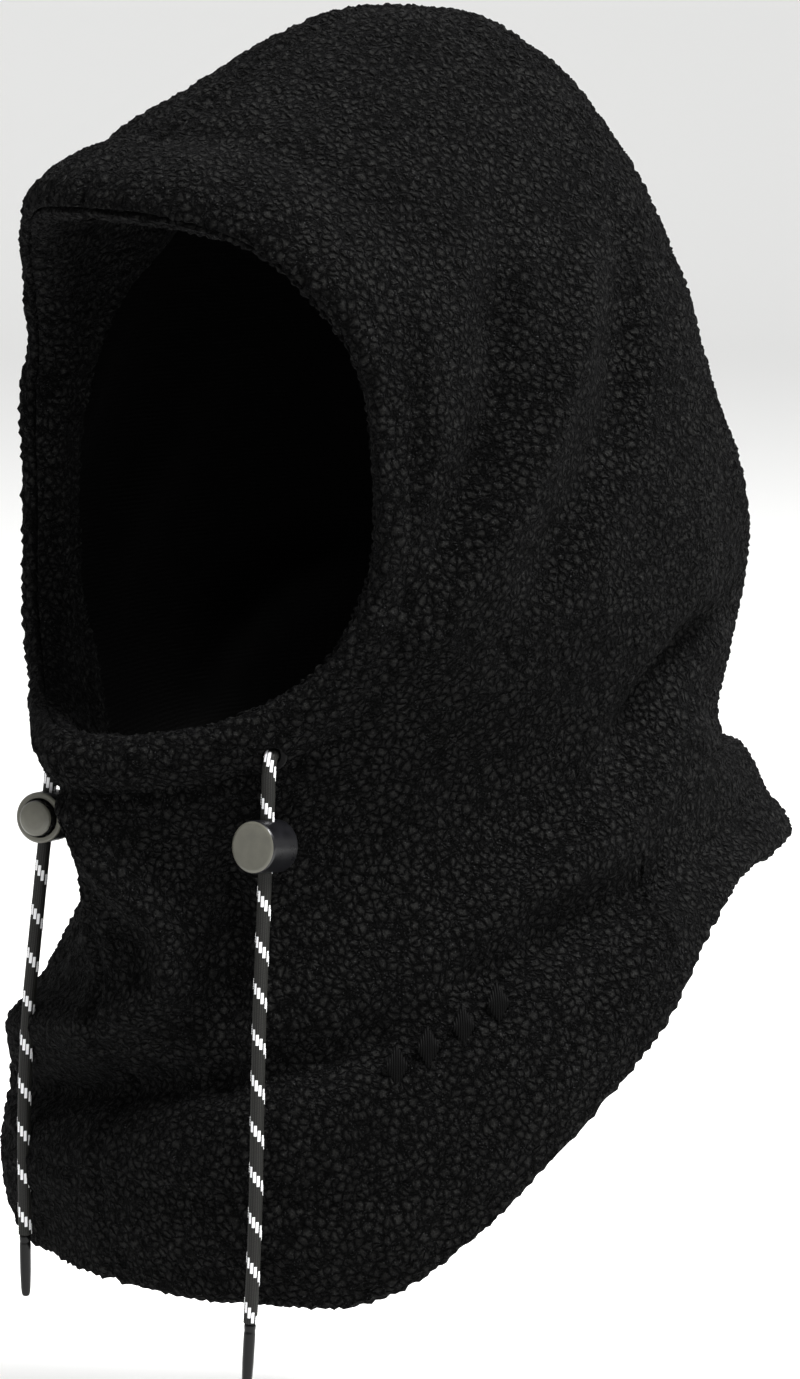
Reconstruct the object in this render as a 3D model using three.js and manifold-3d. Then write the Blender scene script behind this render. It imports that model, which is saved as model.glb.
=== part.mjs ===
// A fleece balaclava hood: two fleece panels joined on the centre plane, a turned facing round the
// face opening that makes a tunnel for the drawcord, two metal eyelets where the cord comes out, and
// a sprung barrel lock and a moulded tip on each cord end.
//
// Millimetres, +Z up. The wearer looks along -Y and the wearer's left is +X. The origin is the
// inside of the crown, where the hood rests on the head.

import * as THREE from 'three';
import { ParametricGeometry } from 'three/addons/geometries/ParametricGeometry.js';
import { mergeVertices } from 'three/addons/utils/BufferGeometryUtils.js';
import Module from 'manifold-3d';

const wasm = await Module();
wasm.setup();

// ---- Driving dimensions -------------------------------------------------------------------------

// Overall sizes of the hood, taken on its outer face.
const HALF_WIDTH = 98;
const FRONT_REACH = 140;
const BACK_REACH = 110;
const HOOD_DROP = 355;

// Fabric.
const FABRIC = 4;
const HEM_BAND = 28;
const FACING_THICK = 8;
const FACING_GAP = 1;
const GAP = 0.3;

// Face opening, as seen from the front.
const OPENING_HALF_WIDTH = 79;
const OPENING_HALF_HEIGHT = 75;
const OPENING_CENTRE_Z = -123;
const OPENING_POWER = 2.7;

// The facing and the cord tunnel follow the opening's edge, measured in the same front view. The
// hood turns away at the sides, so a short step there is as long on the cloth as one at the ends.
const FACING_SIDE = 7;
const FACING_END = 25;
const TUNNEL_SIDE = 3.2;
const TUNNEL_END = 14;

// The hem is low at the front and high at the nape. It climbs between these two angles from the
// centre front.
const FRONT_HEM_Z = -359;
const BACK_HEM_Z = -246;
const HEM_CLIMB_FROM = THREE.MathUtils.degToRad(35);
const HEM_CLIMB_TO = THREE.MathUtils.degToRad(116);

// Drawcord and its hardware.
const CORD_RADIUS = 2;
const CORD_CLEARANCE = 0.3;
const EYELET_ANGLE = THREE.MathUtils.degToRad(-60);
const EYELET_FLANGE_RADIUS = 4.3;
const EYELET_WALL = 0.6;
const EYELET_SEAT = 0.6;
const WASHER_RADIUS = 4.6;
const PLATE_THICK = 0.8;
const LIP_WIDTH = 0.6;
const TIP_RADIUS = 1.7;
const TIP_LENGTH = 19;

// Barrel lock. Distances along its axis are measured from the cord's centre line.
const BARREL_RADIUS = 7.5;
const BARREL_CLOSED_END = -6.7;
const BARREL_OPEN_END = 5.3;
const BARREL_FLOOR = 1;
const BARREL_WALL = 1.9;
const BUTTON_STROKE = 1.8;
const BUTTON_PROUD = 3.2;
const SPRING_WIRE = 0.25;
const SPRING_TURNS = 2;

// How far a cutting solid runs past what it cuts.
const CUT_PAST = 10;

// Resolution of the curved pieces.
const HOOD_SLICES = 48;
const HOOD_ROWS = 26;
const RIM_SLICES = 56;
const CORD_SIDES = 8;
const TUNNEL_STEPS = 2;
const FALL_STEPS = 3;
const LATHE_SIDES = 24;

// Three profiles run from the crown to below the hem: down the centre front, down the side and down
// the centre back. Each point is [reach, drop] as a share of that direction's reach and of HOOD_DROP.
// Points with the same index lie on one ring of the hood.
const FRONT_PROFILE = [
  [0, 0], [0.19, 0.007], [0.37, 0.037], [0.61, 0.083], [0.885, 0.134], [0.985, 0.187],
  [0.995, 0.28], [0.965, 0.378], [0.95, 0.475], [0.97, 0.558], [0.975, 0.615], [0.945, 0.67],
  [0.895, 0.735], [0.845, 0.81], [0.86, 0.885], [0.87, 0.955], [0.84, 1.06],
];
const SIDE_PROFILE = [
  [0, 0], [0.205, 0.007], [0.37, 0.034], [0.55, 0.079], [0.73, 0.146], [0.875, 0.23],
  [0.955, 0.315], [1, 0.405], [1, 0.49], [0.96, 0.568], [0.945, 0.625], [0.985, 0.66],
  [1.08, 0.705], [1.15, 0.78], [1.165, 0.885], [1.16, 0.975], [1.13, 1.06],
];
const BACK_PROFILE = [
  [0, 0], [0.2, 0.006], [0.355, 0.031], [0.51, 0.074], [0.64, 0.14], [0.745, 0.22],
  [0.84, 0.31], [0.965, 0.398], [1, 0.48], [0.915, 0.565], [0.88, 0.608], [1.01, 0.634],
  [1.145, 0.668], [1.205, 0.705], [1.2, 0.82], [1.17, 0.93], [1.13, 1.06],
];
// How full the front half of each ring is: 2 is an ellipse, and lower values draw it in to a keel
// under the chin. The hood hangs slacker on the wearer's left than on the right.
const LEFT_FULLNESS = [2, 2, 2, 2, 2.2, 2.55, 2.45, 2.25, 2.05, 1.62, 1.42, 1.33, 1.35, 1.65, 1.95, 2, 2];
const RIGHT_FULLNESS = [2, 2, 2, 2, 2.1, 2.25, 2.2, 2.1, 1.98, 1.62, 1.28, 1.08, 1.12, 1.55, 2.1, 2.15, 2.1];

// Free cord ends. Points are [across, forward, down] from the eyelet's centre: across is away from
// the centre plane. The cord runs out of its eyelet through the points above its lock, then straight
// along the stretch that the lock slides on, then down to its tip.
const LEFT_FALL = {
  above: [[1.9, 3.2, 4.5]],
  straight: [[2, 3.5, 11], [5, 10, 69]],
  below: [[6, 12, 97], [6.8, 13.7, 126], [6.8, 14.7, 144], [6.5, 15.7, 160]],
};
const RIGHT_FALL = {
  above: [[-3.5, 7, 4.5], [-10, 10.2, 8.5]],
  straight: [[-15, 11.4, 13], [-12, 18, 77]],
  below: [[-11.5, 19.6, 97], [-11.3, 20.4, 115], [-11.2, 20.6, 130], [-11.2, 20.6, 152]],
};
// How far below the start of the straight stretch each lock sits.
const LOCK_BELOW = 14;
// The least distance of a lock's middle ahead of the hood: the falls hang further ahead to keep it.
const LOCK_STANDOFF = 18;

// Directions that the two buttons point in, before they are squared to the cord.
const LEFT_BUTTON_WAY = new THREE.Vector3(-0.17, 0.98, 0);
const RIGHT_BUTTON_WAY = new THREE.Vector3(0.39, -0.92, 0.1);

// ---- Materials ----------------------------------------------------------------------------------

function finish(color, roughness, metalness) {
  return () => new THREE.MeshStandardMaterial({ color, roughness, metalness });
}

const fleece = finish(0x17171a, 0.95, 0);
const facingFleece = finish(0x131316, 0.95, 0);
const braid = finish(0x1c1d1e, 0.8, 0);
const enamel = finish(0x0c0c0d, 0.25, 0.6);
const satinPlastic = finish(0x1d1e1d, 0.4, 0);
const gloss = finish(0x0b0b0c, 0.18, 0);
const steel = finish(0x9a9c9e, 0.3, 1);

// ---- Solids -------------------------------------------------------------------------------------

// A manifold solid from a closed geometry: vertices are shared and collapsed triangles dropped.
function toSolid(geometry) {
  const bare = geometry.clone();
  bare.deleteAttribute('normal');
  bare.deleteAttribute('uv');
  const shared = mergeVertices(bare, 1e-4);
  const corners = shared.index.array;
  const kept = [];
  for (let i = 0; i < corners.length; i += 3) {
    const [a, b, c] = [corners[i], corners[i + 1], corners[i + 2]];
    if (a !== b && b !== c && c !== a) kept.push(a, b, c);
  }
  return new wasm.Manifold(new wasm.Mesh({
    numProp: 3,
    vertProperties: new Float32Array(shared.attributes.position.array),
    triVerts: new Uint32Array(kept),
  }));
}

function toGeometry(solid) {
  const mesh = solid.getMesh();
  const geometry = new THREE.BufferGeometry();
  geometry.setAttribute('position', new THREE.BufferAttribute(mesh.vertProperties, 3));
  geometry.setIndex(new THREE.BufferAttribute(mesh.triVerts, 1));
  geometry.computeVertexNormals();
  return geometry;
}

function piece(name, geometry, material) {
  const mesh = new THREE.Mesh(geometry, material());
  mesh.name = name;
  return mesh;
}

// ---- Hood surface -------------------------------------------------------------------------------

function profileCurve(points, reach) {
  const scaled = points.map(([share, drop]) => new THREE.Vector2(share * reach, FABRIC - drop * HOOD_DROP));
  return new THREE.SplineCurve(scaled);
}

const frontCurve = profileCurve(FRONT_PROFILE, FRONT_REACH);
const sideCurve = profileCurve(SIDE_PROFILE, HALF_WIDTH);
const backCurve = profileCurve(BACK_PROFILE, BACK_REACH);
const fullnessCurves = [LEFT_FULLNESS, RIGHT_FULLNESS].map(
  (values) => new THREE.SplineCurve(values.map((value, index) => new THREE.Vector2(value, index))),
);

// A profile point moved in by inset, square to the profile, and never past the crown's axis.
function profilePoint(curve, level, inset) {
  const point = curve.getPoint(level);
  const way = curve.getTangent(level);
  return new THREE.Vector2(Math.max(point.x + way.y * inset, 0), point.y - way.x * inset);
}

// The hood at an angle from the centre front, towards the wearer's left, and a level from 0 at the
// crown to 1 at the profiles' ends. A positive inset is inside the outer face.
function hoodPoint(angle, level, inset = 0) {
  const held = THREE.MathUtils.clamp(level, 0, 1);
  const [ahead, aside] = [Math.cos(angle), Math.sin(angle)];
  const atFront = ahead > 0;
  const side = profilePoint(sideCurve, held, inset);
  const end = profilePoint(atFront ? frontCurve : backCurve, held, inset);
  const fullness = fullnessCurves[aside < 0 ? 1 : 0].getPoint(held).x;
  const power = atFront ? 2 / fullness : 1;
  return new THREE.Vector3(
    side.x * Math.sign(aside) * Math.abs(aside) ** power,
    -end.x * Math.sign(ahead) * Math.abs(ahead) ** power,
    THREE.MathUtils.lerp(side.y, end.y, ahead * ahead),
  );
}

// The level at which the hood reaches a height, found by halving.
function levelAtHeight(angle, height) {
  let [low, high] = [0, 1];
  for (let step = 0; step < 40; step += 1) {
    const middle = (low + high) / 2;
    if (hoodPoint(angle, middle).z > height) low = middle;
    else high = middle;
  }
  return (low + high) / 2;
}

function hemHeight(angle) {
  const turned = Math.abs(Math.atan2(Math.sin(angle), Math.cos(angle)));
  const climb = THREE.MathUtils.smoothstep(turned, HEM_CLIMB_FROM, HEM_CLIMB_TO);
  return THREE.MathUtils.lerp(FRONT_HEM_Z, BACK_HEM_Z, climb);
}

// Where a point of the front view lies on the hood, as an angle and a level.
function placeInFront(x, z) {
  let angle = Math.asin(THREE.MathUtils.clamp(x / HALF_WIDTH, -0.95, 0.95));
  let level = levelAtHeight(angle, z);
  for (let step = 0; step < 12; step += 1) {
    const reach = sideCurve.getPoint(level).x;
    const fullness = fullnessCurves[x < 0 ? 1 : 0].getPoint(level).x;
    const share = Math.min(Math.abs(x) / reach, 0.98);
    angle = Math.sign(x) * Math.asin(share ** (fullness / 2));
    level = levelAtHeight(angle, z);
  }
  return { angle, level };
}

// A closed layer of the hood between two insets: out from the crown, round the hem and back in.
function layerSolid(outer, inner) {
  const hemRows = 2;
  const rows = 2 * HOOD_ROWS + hemRows;
  const shape = (u, v, target) => {
    const angle = -u * 2 * Math.PI;
    const hemLevel = levelAtHeight(angle, hemHeight(angle));
    const row = v * rows;
    if (row <= HOOD_ROWS) {
      target.copy(hoodPoint(angle, (hemLevel * row) / HOOD_ROWS, outer));
    } else if (row < HOOD_ROWS + hemRows) {
      target.copy(hoodPoint(angle, hemLevel, (outer + inner(0)) / 2));
      target.z -= FABRIC / 2;
    } else {
      const level = (hemLevel * (rows - row)) / HOOD_ROWS;
      const above = hoodPoint(angle, level).z - hemHeight(angle);
      target.copy(hoodPoint(angle, level, inner(above)));
    }
  };
  return toSolid(new ParametricGeometry(shape, HOOD_SLICES, rows));
}

// ---- Face opening -------------------------------------------------------------------------------

const facingInset = FABRIC + FACING_GAP;

// A point of the opening's outline in the front view, grown by side and end.
function outlinePoint(turn, side, end) {
  const [across, up] = [Math.cos(turn), Math.sin(turn)];
  const x = (OPENING_HALF_WIDTH + side) * Math.sign(across) * Math.abs(across) ** (2 / OPENING_POWER);
  const z = (OPENING_HALF_HEIGHT + end) * Math.sign(up) * Math.abs(up) ** (2 / OPENING_POWER);
  return { x, z: OPENING_CENTRE_Z + z };
}

function rimPoint(turn, side, end, inset) {
  const { x, z } = outlinePoint(turn, side, end);
  const { angle, level } = placeInFront(x, z);
  return hoodPoint(angle, level, inset);
}

// A plug through the front of the hood whose wall runs square to the cloth along an outline.
function rimPlug(side, end) {
  const outside = -CUT_PAST;
  const inside = facingInset + FACING_THICK + CUT_PAST / 4;
  const shape = (u, v, target) => {
    const turn = -u * 2 * Math.PI;
    if (v < 0.25) target.set(0, -1.4 * FRONT_REACH, OPENING_CENTRE_Z);
    else if (v < 0.5) target.copy(rimPoint(turn, side, end, outside));
    else if (v < 0.9) target.copy(rimPoint(turn, side, end, inside));
    else target.set(0, -FRONT_REACH / 4, OPENING_CENTRE_Z);
  };
  return toSolid(new ParametricGeometry(shape, RIM_SLICES, 3));
}

function halfSpace(sign) {
  const size = 900;
  const box = new THREE.BoxGeometry(size, size, size);
  box.translate(sign * (size / 2 + GAP / 2), 0, 0);
  return toSolid(box);
}

// ---- Drawcord -----------------------------------------------------------------------------------

function circleShape(radius, sides) {
  const points = [];
  for (let i = 0; i < sides; i += 1) {
    const turn = (i / sides) * 2 * Math.PI;
    points.push(new THREE.Vector2(radius * Math.cos(turn), radius * Math.sin(turn)));
  }
  return new THREE.Shape(points);
}

// A curve stepped evenly from point to point, so that points set close together give short steps.
class SteppedCurve extends THREE.CatmullRomCurve3 {
  getPointAt(share, target) {
    return this.getPoint(share, target);
  }

  getTangentAt(share, target) {
    return this.getTangent(share, target);
  }
}

function tube(points, radius, stepsBetween, sides = CORD_SIDES) {
  const extrudePath = new SteppedCurve(points);
  const steps = stepsBetween * (points.length - 1);
  return new THREE.ExtrudeGeometry(circleShape(radius, sides), { steps, extrudePath });
}

// The eyelet's centre on the hood's outer face, and its axis pointing out of the cloth.
function eyeletPlace(sign) {
  const turn = sign > 0 ? EYELET_ANGLE : Math.PI - EYELET_ANGLE;
  const centre = rimPoint(turn, TUNNEL_SIDE, TUNNEL_END, 0);
  const deep = rimPoint(turn, TUNNEL_SIDE, TUNNEL_END, FABRIC);
  return { centre, out: centre.clone().sub(deep).normalize(), turn };
}

function onAxis(place, depth) {
  return place.centre.clone().addScaledVector(place.out, -depth);
}

const eyelets = { left: eyeletPlace(1), right: eyeletPlace(-1) };
const tunnelInset = facingInset + FACING_THICK / 2 + 0.5;
const joinDepth = FABRIC / 2;

// The cord's route inside the facing, from one eyelet up over the brow to the other.
function tunnelRoute(endDepth) {
  const middle = [];
  const arcs = 22;
  const clear = 0.12;
  const from = eyelets.left.turn + clear;
  const to = eyelets.right.turn - clear;
  for (let i = 0; i <= arcs; i += 1) {
    const turn = from + ((to - from) * i) / arcs;
    middle.push(rimPoint(turn, TUNNEL_SIDE, TUNNEL_END, tunnelInset));
  }
  // Depths on each eyelet's axis that keep the cord straight through it.
  const stretch = 1.3;
  const depths = [endDepth, FABRIC, FABRIC + stretch, FABRIC + 2 * stretch];
  const bend = FABRIC + 4 * stretch;
  const leftEnd = depths.map((depth) => onAxis(eyelets.left, depth));
  leftEnd.push(onAxis(eyelets.left, bend).lerp(middle[0], 0.25));
  const rightEnd = depths.map((depth) => onAxis(eyelets.right, depth));
  rightEnd.push(onAxis(eyelets.right, bend).lerp(middle[arcs], 0.25));
  return [...leftEnd, ...middle, ...rightEnd.reverse()];
}

// How far ahead of the hood a lock is when its cord's straight stretch runs from top to bottom.
function lockAhead(top, bottom) {
  const lock = top.clone().lerp(bottom, LOCK_BELOW / top.distanceTo(bottom));
  const { angle, level } = placeInFront(lock.x, lock.z);
  return hoodPoint(angle, level, 0).y - lock.y;
}

// The free end's points, and the two ends of its straight stretch.
function fallRoute(side) {
  const sign = side === 'left' ? 1 : -1;
  const fall = side === 'left' ? LEFT_FALL : RIGHT_FALL;
  const { centre } = eyelets[side];
  const place = (point, pushed) => new THREE.Vector3(
    centre.x + sign * point[0],
    centre.y - point[1] - pushed,
    centre.z - point[2],
  );
  const push = Math.max(0, LOCK_STANDOFF - lockAhead(...fall.straight.map((point) => place(point, 0))));
  const [top, bottom] = fall.straight.map((point) => place(point, push));
  const along = bottom.clone().sub(top).normalize();
  // Points close inside both ends keep the curve from bending the stretch between them.
  const held = [top, top.clone().addScaledVector(along, 2), bottom.clone().addScaledVector(along, -4), bottom];
  const out = [joinDepth - GAP, 0, -2].map((depth) => onAxis(eyelets[side], depth));
  const above = fall.above.map((point) => place(point, push / 2));
  const below = fall.below.map((point) => place(point, push));
  return { points: [...out, ...above, ...held, ...below], top, along };
}

function cordEnd(side) {
  return piece(`drawcord_${side}_end`, tube(fallRoute(side).points, CORD_RADIUS, FALL_STEPS), braid);
}

// ---- Hood pieces --------------------------------------------------------------------------------

// Cloth thickness above the hem: the last HEM_BAND is turned up inside and lies double.
function panelInset(above) {
  return FABRIC * (2 - THREE.MathUtils.smoothstep(above, HEM_BAND - 4, HEM_BAND + 4));
}

function cylinderAlong(place, radius, fromDepth, toDepth) {
  const geometry = new THREE.CylinderGeometry(radius, radius, toDepth - fromDepth, LATHE_SIDES);
  geometry.rotateX(Math.PI / 2);
  const turn = new THREE.Quaternion().setFromUnitVectors(new THREE.Vector3(0, 0, 1), place.out);
  geometry.applyQuaternion(turn);
  const middle = onAxis(place, (fromDepth + toDepth) / 2);
  geometry.translate(middle.x, middle.y, middle.z);
  return toSolid(geometry);
}

const eyeletBore = CORD_RADIUS + CORD_CLEARANCE;
const eyeletBarrelRadius = eyeletBore + EYELET_WALL;
const washerDepth = FABRIC - EYELET_SEAT + GAP;

function hoodPanels() {
  let cloth = layerSolid(0, panelInset).subtract(rimPlug(0, 0));
  for (const place of Object.values(eyelets)) {
    cloth = cloth.subtract(cylinderAlong(place, eyeletBarrelRadius + GAP, -CUT_PAST, FABRIC + CUT_PAST));
    cloth = cloth.subtract(cylinderAlong(place, EYELET_FLANGE_RADIUS + GAP, -CUT_PAST, EYELET_SEAT));
    cloth = cloth.subtract(cylinderAlong(place, WASHER_RADIUS + GAP, washerDepth - GAP, FABRIC + CUT_PAST));
  }
  return [['left', 1], ['right', -1]].map(([side, sign]) => (
    piece(`hood_panel_${side}`, toGeometry(cloth.intersect(halfSpace(sign))), fleece)
  ));
}

function faceFacings() {
  const inner = facingInset + FACING_THICK;
  let band = layerSolid(facingInset, () => inner);
  band = band.intersect(rimPlug(FACING_SIDE, FACING_END)).subtract(rimPlug(0, 0));
  band = band.subtract(toSolid(tube(tunnelRoute(joinDepth), CORD_RADIUS + CORD_CLEARANCE, TUNNEL_STEPS)));
  for (const place of Object.values(eyelets)) {
    const pocket = washerDepth + PLATE_THICK + LIP_WIDTH + 2 * GAP;
    band = band.subtract(cylinderAlong(place, WASHER_RADIUS + GAP, -CUT_PAST, pocket));
  }
  return [['left', 1], ['right', -1]].map(([side, sign]) => (
    piece(`face_facing_${side}`, toGeometry(band.intersect(halfSpace(sign))), facingFleece)
  ));
}

// ---- Eyelets ------------------------------------------------------------------------------------

function lathe(outline) {
  return new THREE.LatheGeometry(outline.map(([r, z]) => new THREE.Vector2(r, z)), LATHE_SIDES);
}

// Lathes turn about Y, so each lathed piece is laid along its group's Z.
function lathePiece(name, outline, material) {
  const geometry = lathe(outline);
  geometry.rotateX(Math.PI / 2);
  return piece(name, toGeometry(toSolid(geometry)), material);
}

function eyeletGroup(side) {
  const place = eyelets[side];
  const group = new THREE.Group();
  group.position.copy(place.centre);
  group.quaternion.setFromUnitVectors(new THREE.Vector3(0, 0, 1), place.out);
  const foot = GAP - EYELET_SEAT;
  const top = foot + PLATE_THICK;
  const lipTop = -(washerDepth + PLATE_THICK + GAP);
  const edge = 0.3;
  const eyelet = [
    [eyeletBore, top - edge], [eyeletBore + edge, top], [EYELET_FLANGE_RADIUS - edge, top],
    [EYELET_FLANGE_RADIUS, top - edge], [EYELET_FLANGE_RADIUS, foot], [eyeletBarrelRadius, foot],
    [eyeletBarrelRadius, lipTop], [eyeletBarrelRadius + LIP_WIDTH, lipTop],
    [eyeletBarrelRadius + LIP_WIDTH, lipTop - LIP_WIDTH / 2], [eyeletBore, lipTop - LIP_WIDTH],
    [eyeletBore, top - edge],
  ];
  const washerHole = eyeletBarrelRadius + GAP;
  const washer = [
    [washerHole, -washerDepth], [washerHole, -(washerDepth + PLATE_THICK)],
    [WASHER_RADIUS, -(washerDepth + PLATE_THICK)], [WASHER_RADIUS, -washerDepth],
    [washerHole, -washerDepth],
  ];
  group.add(lathePiece(`eyelet_${side}`, eyelet.reverse(), enamel));
  group.add(lathePiece(`eyelet_washer_${side}`, washer, steel));
  return group;
}

// ---- Cord locks ---------------------------------------------------------------------------------

const cordHole = CORD_RADIUS + 2 * CORD_CLEARANCE;
const barrelBore = BARREL_RADIUS - BARREL_WALL;
const buttonRadius = barrelBore - GAP;
const buttonFoot = -(CORD_RADIUS + CORD_CLEARANCE + PLATE_THICK);

// A rod across the lock, along X, that the cord passes through, stretched along Z into a slot.
function crossHole(radius, from, to) {
  const shape = new THREE.Shape();
  shape.absarc(0, to, radius, 0, Math.PI, false);
  shape.absarc(0, from, radius, Math.PI, 2 * Math.PI, false);
  const depth = 4 * BARREL_RADIUS;
  const geometry = new THREE.ExtrudeGeometry(shape, { depth, bevelEnabled: false, curveSegments: 12 });
  geometry.translate(0, 0, -depth / 2);
  geometry.rotateX(Math.PI / 2);
  geometry.rotateZ(Math.PI / 2);
  return toSolid(geometry);
}

function lockBarrel(side) {
  const floor = BARREL_CLOSED_END + BARREL_FLOOR;
  const edge = 1;
  const outline = [
    [0, BARREL_CLOSED_END], [BARREL_RADIUS - edge, BARREL_CLOSED_END],
    [BARREL_RADIUS - 0.3 * edge, BARREL_CLOSED_END + 0.3 * edge],
    [BARREL_RADIUS, BARREL_CLOSED_END + edge], [BARREL_RADIUS, BARREL_OPEN_END - edge / 2],
    [BARREL_RADIUS - edge / 2, BARREL_OPEN_END], [barrelBore, BARREL_OPEN_END],
    [barrelBore, floor], [0, floor],
  ];
  const body = lathe(outline);
  body.rotateX(Math.PI / 2);
  const solid = toSolid(body).subtract(crossHole(cordHole, 0, 0));
  return piece(`lock_${side}_barrel`, toGeometry(solid), satinPlastic);
}

function lockButton(side) {
  const shoulder = BARREL_OPEN_END + BUTTON_PROUD - 1.4;
  const crown = BARREL_OPEN_END + BUTTON_PROUD;
  const outline = [
    [0, buttonFoot], [buttonRadius, buttonFoot], [buttonRadius, shoulder - 0.4],
    [buttonRadius - 0.3, shoulder + 0.3], [buttonRadius * 0.8, crown - 0.45],
    [buttonRadius * 0.5, crown - 0.12], [0, crown],
  ];
  const body = lathe(outline);
  body.rotateX(Math.PI / 2);
  const slot = crossHole(CORD_RADIUS + CORD_CLEARANCE, 0, BUTTON_STROKE);
  return piece(`lock_${side}_button`, toGeometry(toSolid(body).subtract(slot)), satinPlastic);
}

// A conical spring between the barrel's floor and the button, shown at rest.
function lockSpring(side) {
  const foot = BARREL_CLOSED_END + BARREL_FLOOR + GAP + SPRING_WIRE;
  const head = buttonFoot - GAP - SPRING_WIRE;
  const points = [];
  const steps = SPRING_TURNS * 12;
  for (let i = 0; i <= steps; i += 1) {
    const share = i / steps;
    const turn = share * SPRING_TURNS * 2 * Math.PI;
    const radius = THREE.MathUtils.lerp(barrelBore - 3 * GAP, barrelBore / 2, share);
    const height = THREE.MathUtils.lerp(foot, head, share);
    points.push(new THREE.Vector3(radius * Math.cos(turn), radius * Math.sin(turn), height));
  }
  return piece(`lock_${side}_spring`, tube(points, SPRING_WIRE, 1, 6), steel);
}

// The lock's group: X runs down the cord and Z is the way the button points.
function lockGroup(side, buttonWay) {
  const { top, along } = fallRoute(side);
  const out = buttonWay.clone().addScaledVector(along, -buttonWay.dot(along)).normalize();
  const across = new THREE.Vector3().crossVectors(out, along);
  const group = new THREE.Group();
  group.position.copy(top).addScaledVector(along, LOCK_BELOW);
  group.quaternion.setFromRotationMatrix(new THREE.Matrix4().makeBasis(along, across, out));
  group.add(lockBarrel(side), lockButton(side), lockSpring(side));
  return group;
}

// A moulded tip on the end of the cord, in line with it.
function cordTip(side) {
  const { points } = fallRoute(side);
  const end = points.at(-1);
  const down = end.clone().sub(points.at(-2)).normalize();
  const outline = [
    [0, GAP], [TIP_RADIUS, GAP], [TIP_RADIUS, TIP_LENGTH * 0.6],
    [TIP_RADIUS * 0.85, TIP_LENGTH - 0.6], [TIP_RADIUS * 0.6, TIP_LENGTH], [0, TIP_LENGTH],
  ];
  const tip = lathePiece(`cord_tip_${side}`, outline, gloss);
  tip.position.copy(end);
  tip.quaternion.setFromUnitVectors(new THREE.Vector3(0, 0, 1), down);
  return tip;
}

// ---- Assembly -----------------------------------------------------------------------------------

const balaclava = new THREE.Group();
balaclava.add(...hoodPanels(), ...faceFacings());
balaclava.add(piece('drawcord_tunnel_run', tube(tunnelRoute(joinDepth), CORD_RADIUS, TUNNEL_STEPS), braid));
for (const [side, buttonWay] of [['left', LEFT_BUTTON_WAY], ['right', RIGHT_BUTTON_WAY]]) {
  balaclava.add(eyeletGroup(side), cordEnd(side), cordTip(side), lockGroup(side, buttonWay));
}

export default balaclava;
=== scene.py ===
"""Looks for a fleece balaclava hood: curly pile cloth, drawcord, cord locks and studio.

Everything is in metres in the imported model's own frame: +Z is up, the wearer looks along -Y and
the wearer's left is +X. Shapes are worked out in millimetres and turned to metres when a mesh is made.
"""

import logging
import math
from dataclasses import dataclass, field
from enum import Enum
from typing import Optional, Sequence

import bmesh
import bpy
import numpy as np
from mathutils import Matrix, Vector


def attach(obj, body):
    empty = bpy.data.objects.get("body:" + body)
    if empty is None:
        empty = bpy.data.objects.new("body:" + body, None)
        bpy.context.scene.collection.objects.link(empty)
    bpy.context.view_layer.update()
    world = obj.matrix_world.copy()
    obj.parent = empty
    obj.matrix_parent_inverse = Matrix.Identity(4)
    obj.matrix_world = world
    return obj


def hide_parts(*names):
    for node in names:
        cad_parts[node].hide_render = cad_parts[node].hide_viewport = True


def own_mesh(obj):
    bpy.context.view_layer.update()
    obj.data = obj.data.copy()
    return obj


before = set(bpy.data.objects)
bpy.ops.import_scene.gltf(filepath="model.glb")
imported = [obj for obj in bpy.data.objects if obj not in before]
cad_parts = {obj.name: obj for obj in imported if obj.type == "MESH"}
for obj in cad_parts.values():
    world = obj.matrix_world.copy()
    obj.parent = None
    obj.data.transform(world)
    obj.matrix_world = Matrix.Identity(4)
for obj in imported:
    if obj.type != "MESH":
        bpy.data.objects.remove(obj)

log = logging.getLogger("balaclava")

MM = 0.001
ROOT_BODY = "hood"
# Points closer to the centre plane than this, in millimetres, lie on the centre seam.
ON_SEAM = 1e-6
# Numbers that scramble a cell's place into random digits.
HASH_PRIMES = (73856093, 19349663, 83492791)
HASH_SEED = 2654435761
HASH_FACTOR, HASH_STEP = 6364136223846793005, 1442695040888963407
# The part of a cell's side that its jittered centre keeps clear of at each end.
CELL_MARGIN = 0.1


# ---- Small helpers ------------------------------------------------------------------------------


class Side(Enum):
    """The wearer's two sides, valued by the sign of X."""

    LEFT = 1
    RIGHT = -1

    @property
    def word(self) -> str:
        """The side's name as the model's nodes spell it."""
        return self.name.lower()


def linear(code: str) -> tuple[float, float, float, float]:
    """Turns an sRGB hex code into linear light.

    Args:
        code: Six hex digits, with or without a leading hash.

    Returns:
        Red, green, blue and an alpha of one.
    """
    digits = code.lstrip("#")
    channels = [int(digits[i : i + 2], 16) / 255 for i in (0, 2, 4)]
    light = [c / 12.92 if c <= 0.04045 else ((c + 0.055) / 1.055) ** 2.4 for c in channels]
    return (light[0], light[1], light[2], 1.0)


def add_node(
    tree: bpy.types.NodeTree,
    kind: str,
    settings: Optional[dict] = None,
    **links: object,
) -> bpy.types.Node:
    """Adds a shader node with its settings, values and links.

    Args:
        tree: The node tree to add to.
        kind: The node's class name without its "ShaderNode" start.
        settings: Attributes of the node, such as its operation.
        **links: Input names, with spaces as underscores, or "i0", "i1" for the input's place. Each
            is given an output socket to link from, or a plain value.

    Returns:
        The new node.
    """
    node = tree.nodes.new("ShaderNode" + kind)
    for name, value in (settings or {}).items():
        setattr(node, name, value)
    for name, value in links.items():
        place = int(name[1:]) if name[0] == "i" and name[1:].isdigit() else name.replace("_", " ")
        socket = node.inputs[place]
        if isinstance(value, bpy.types.NodeSocket):
            tree.links.new(value, socket)
        else:
            socket.default_value = value
    return node


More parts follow.
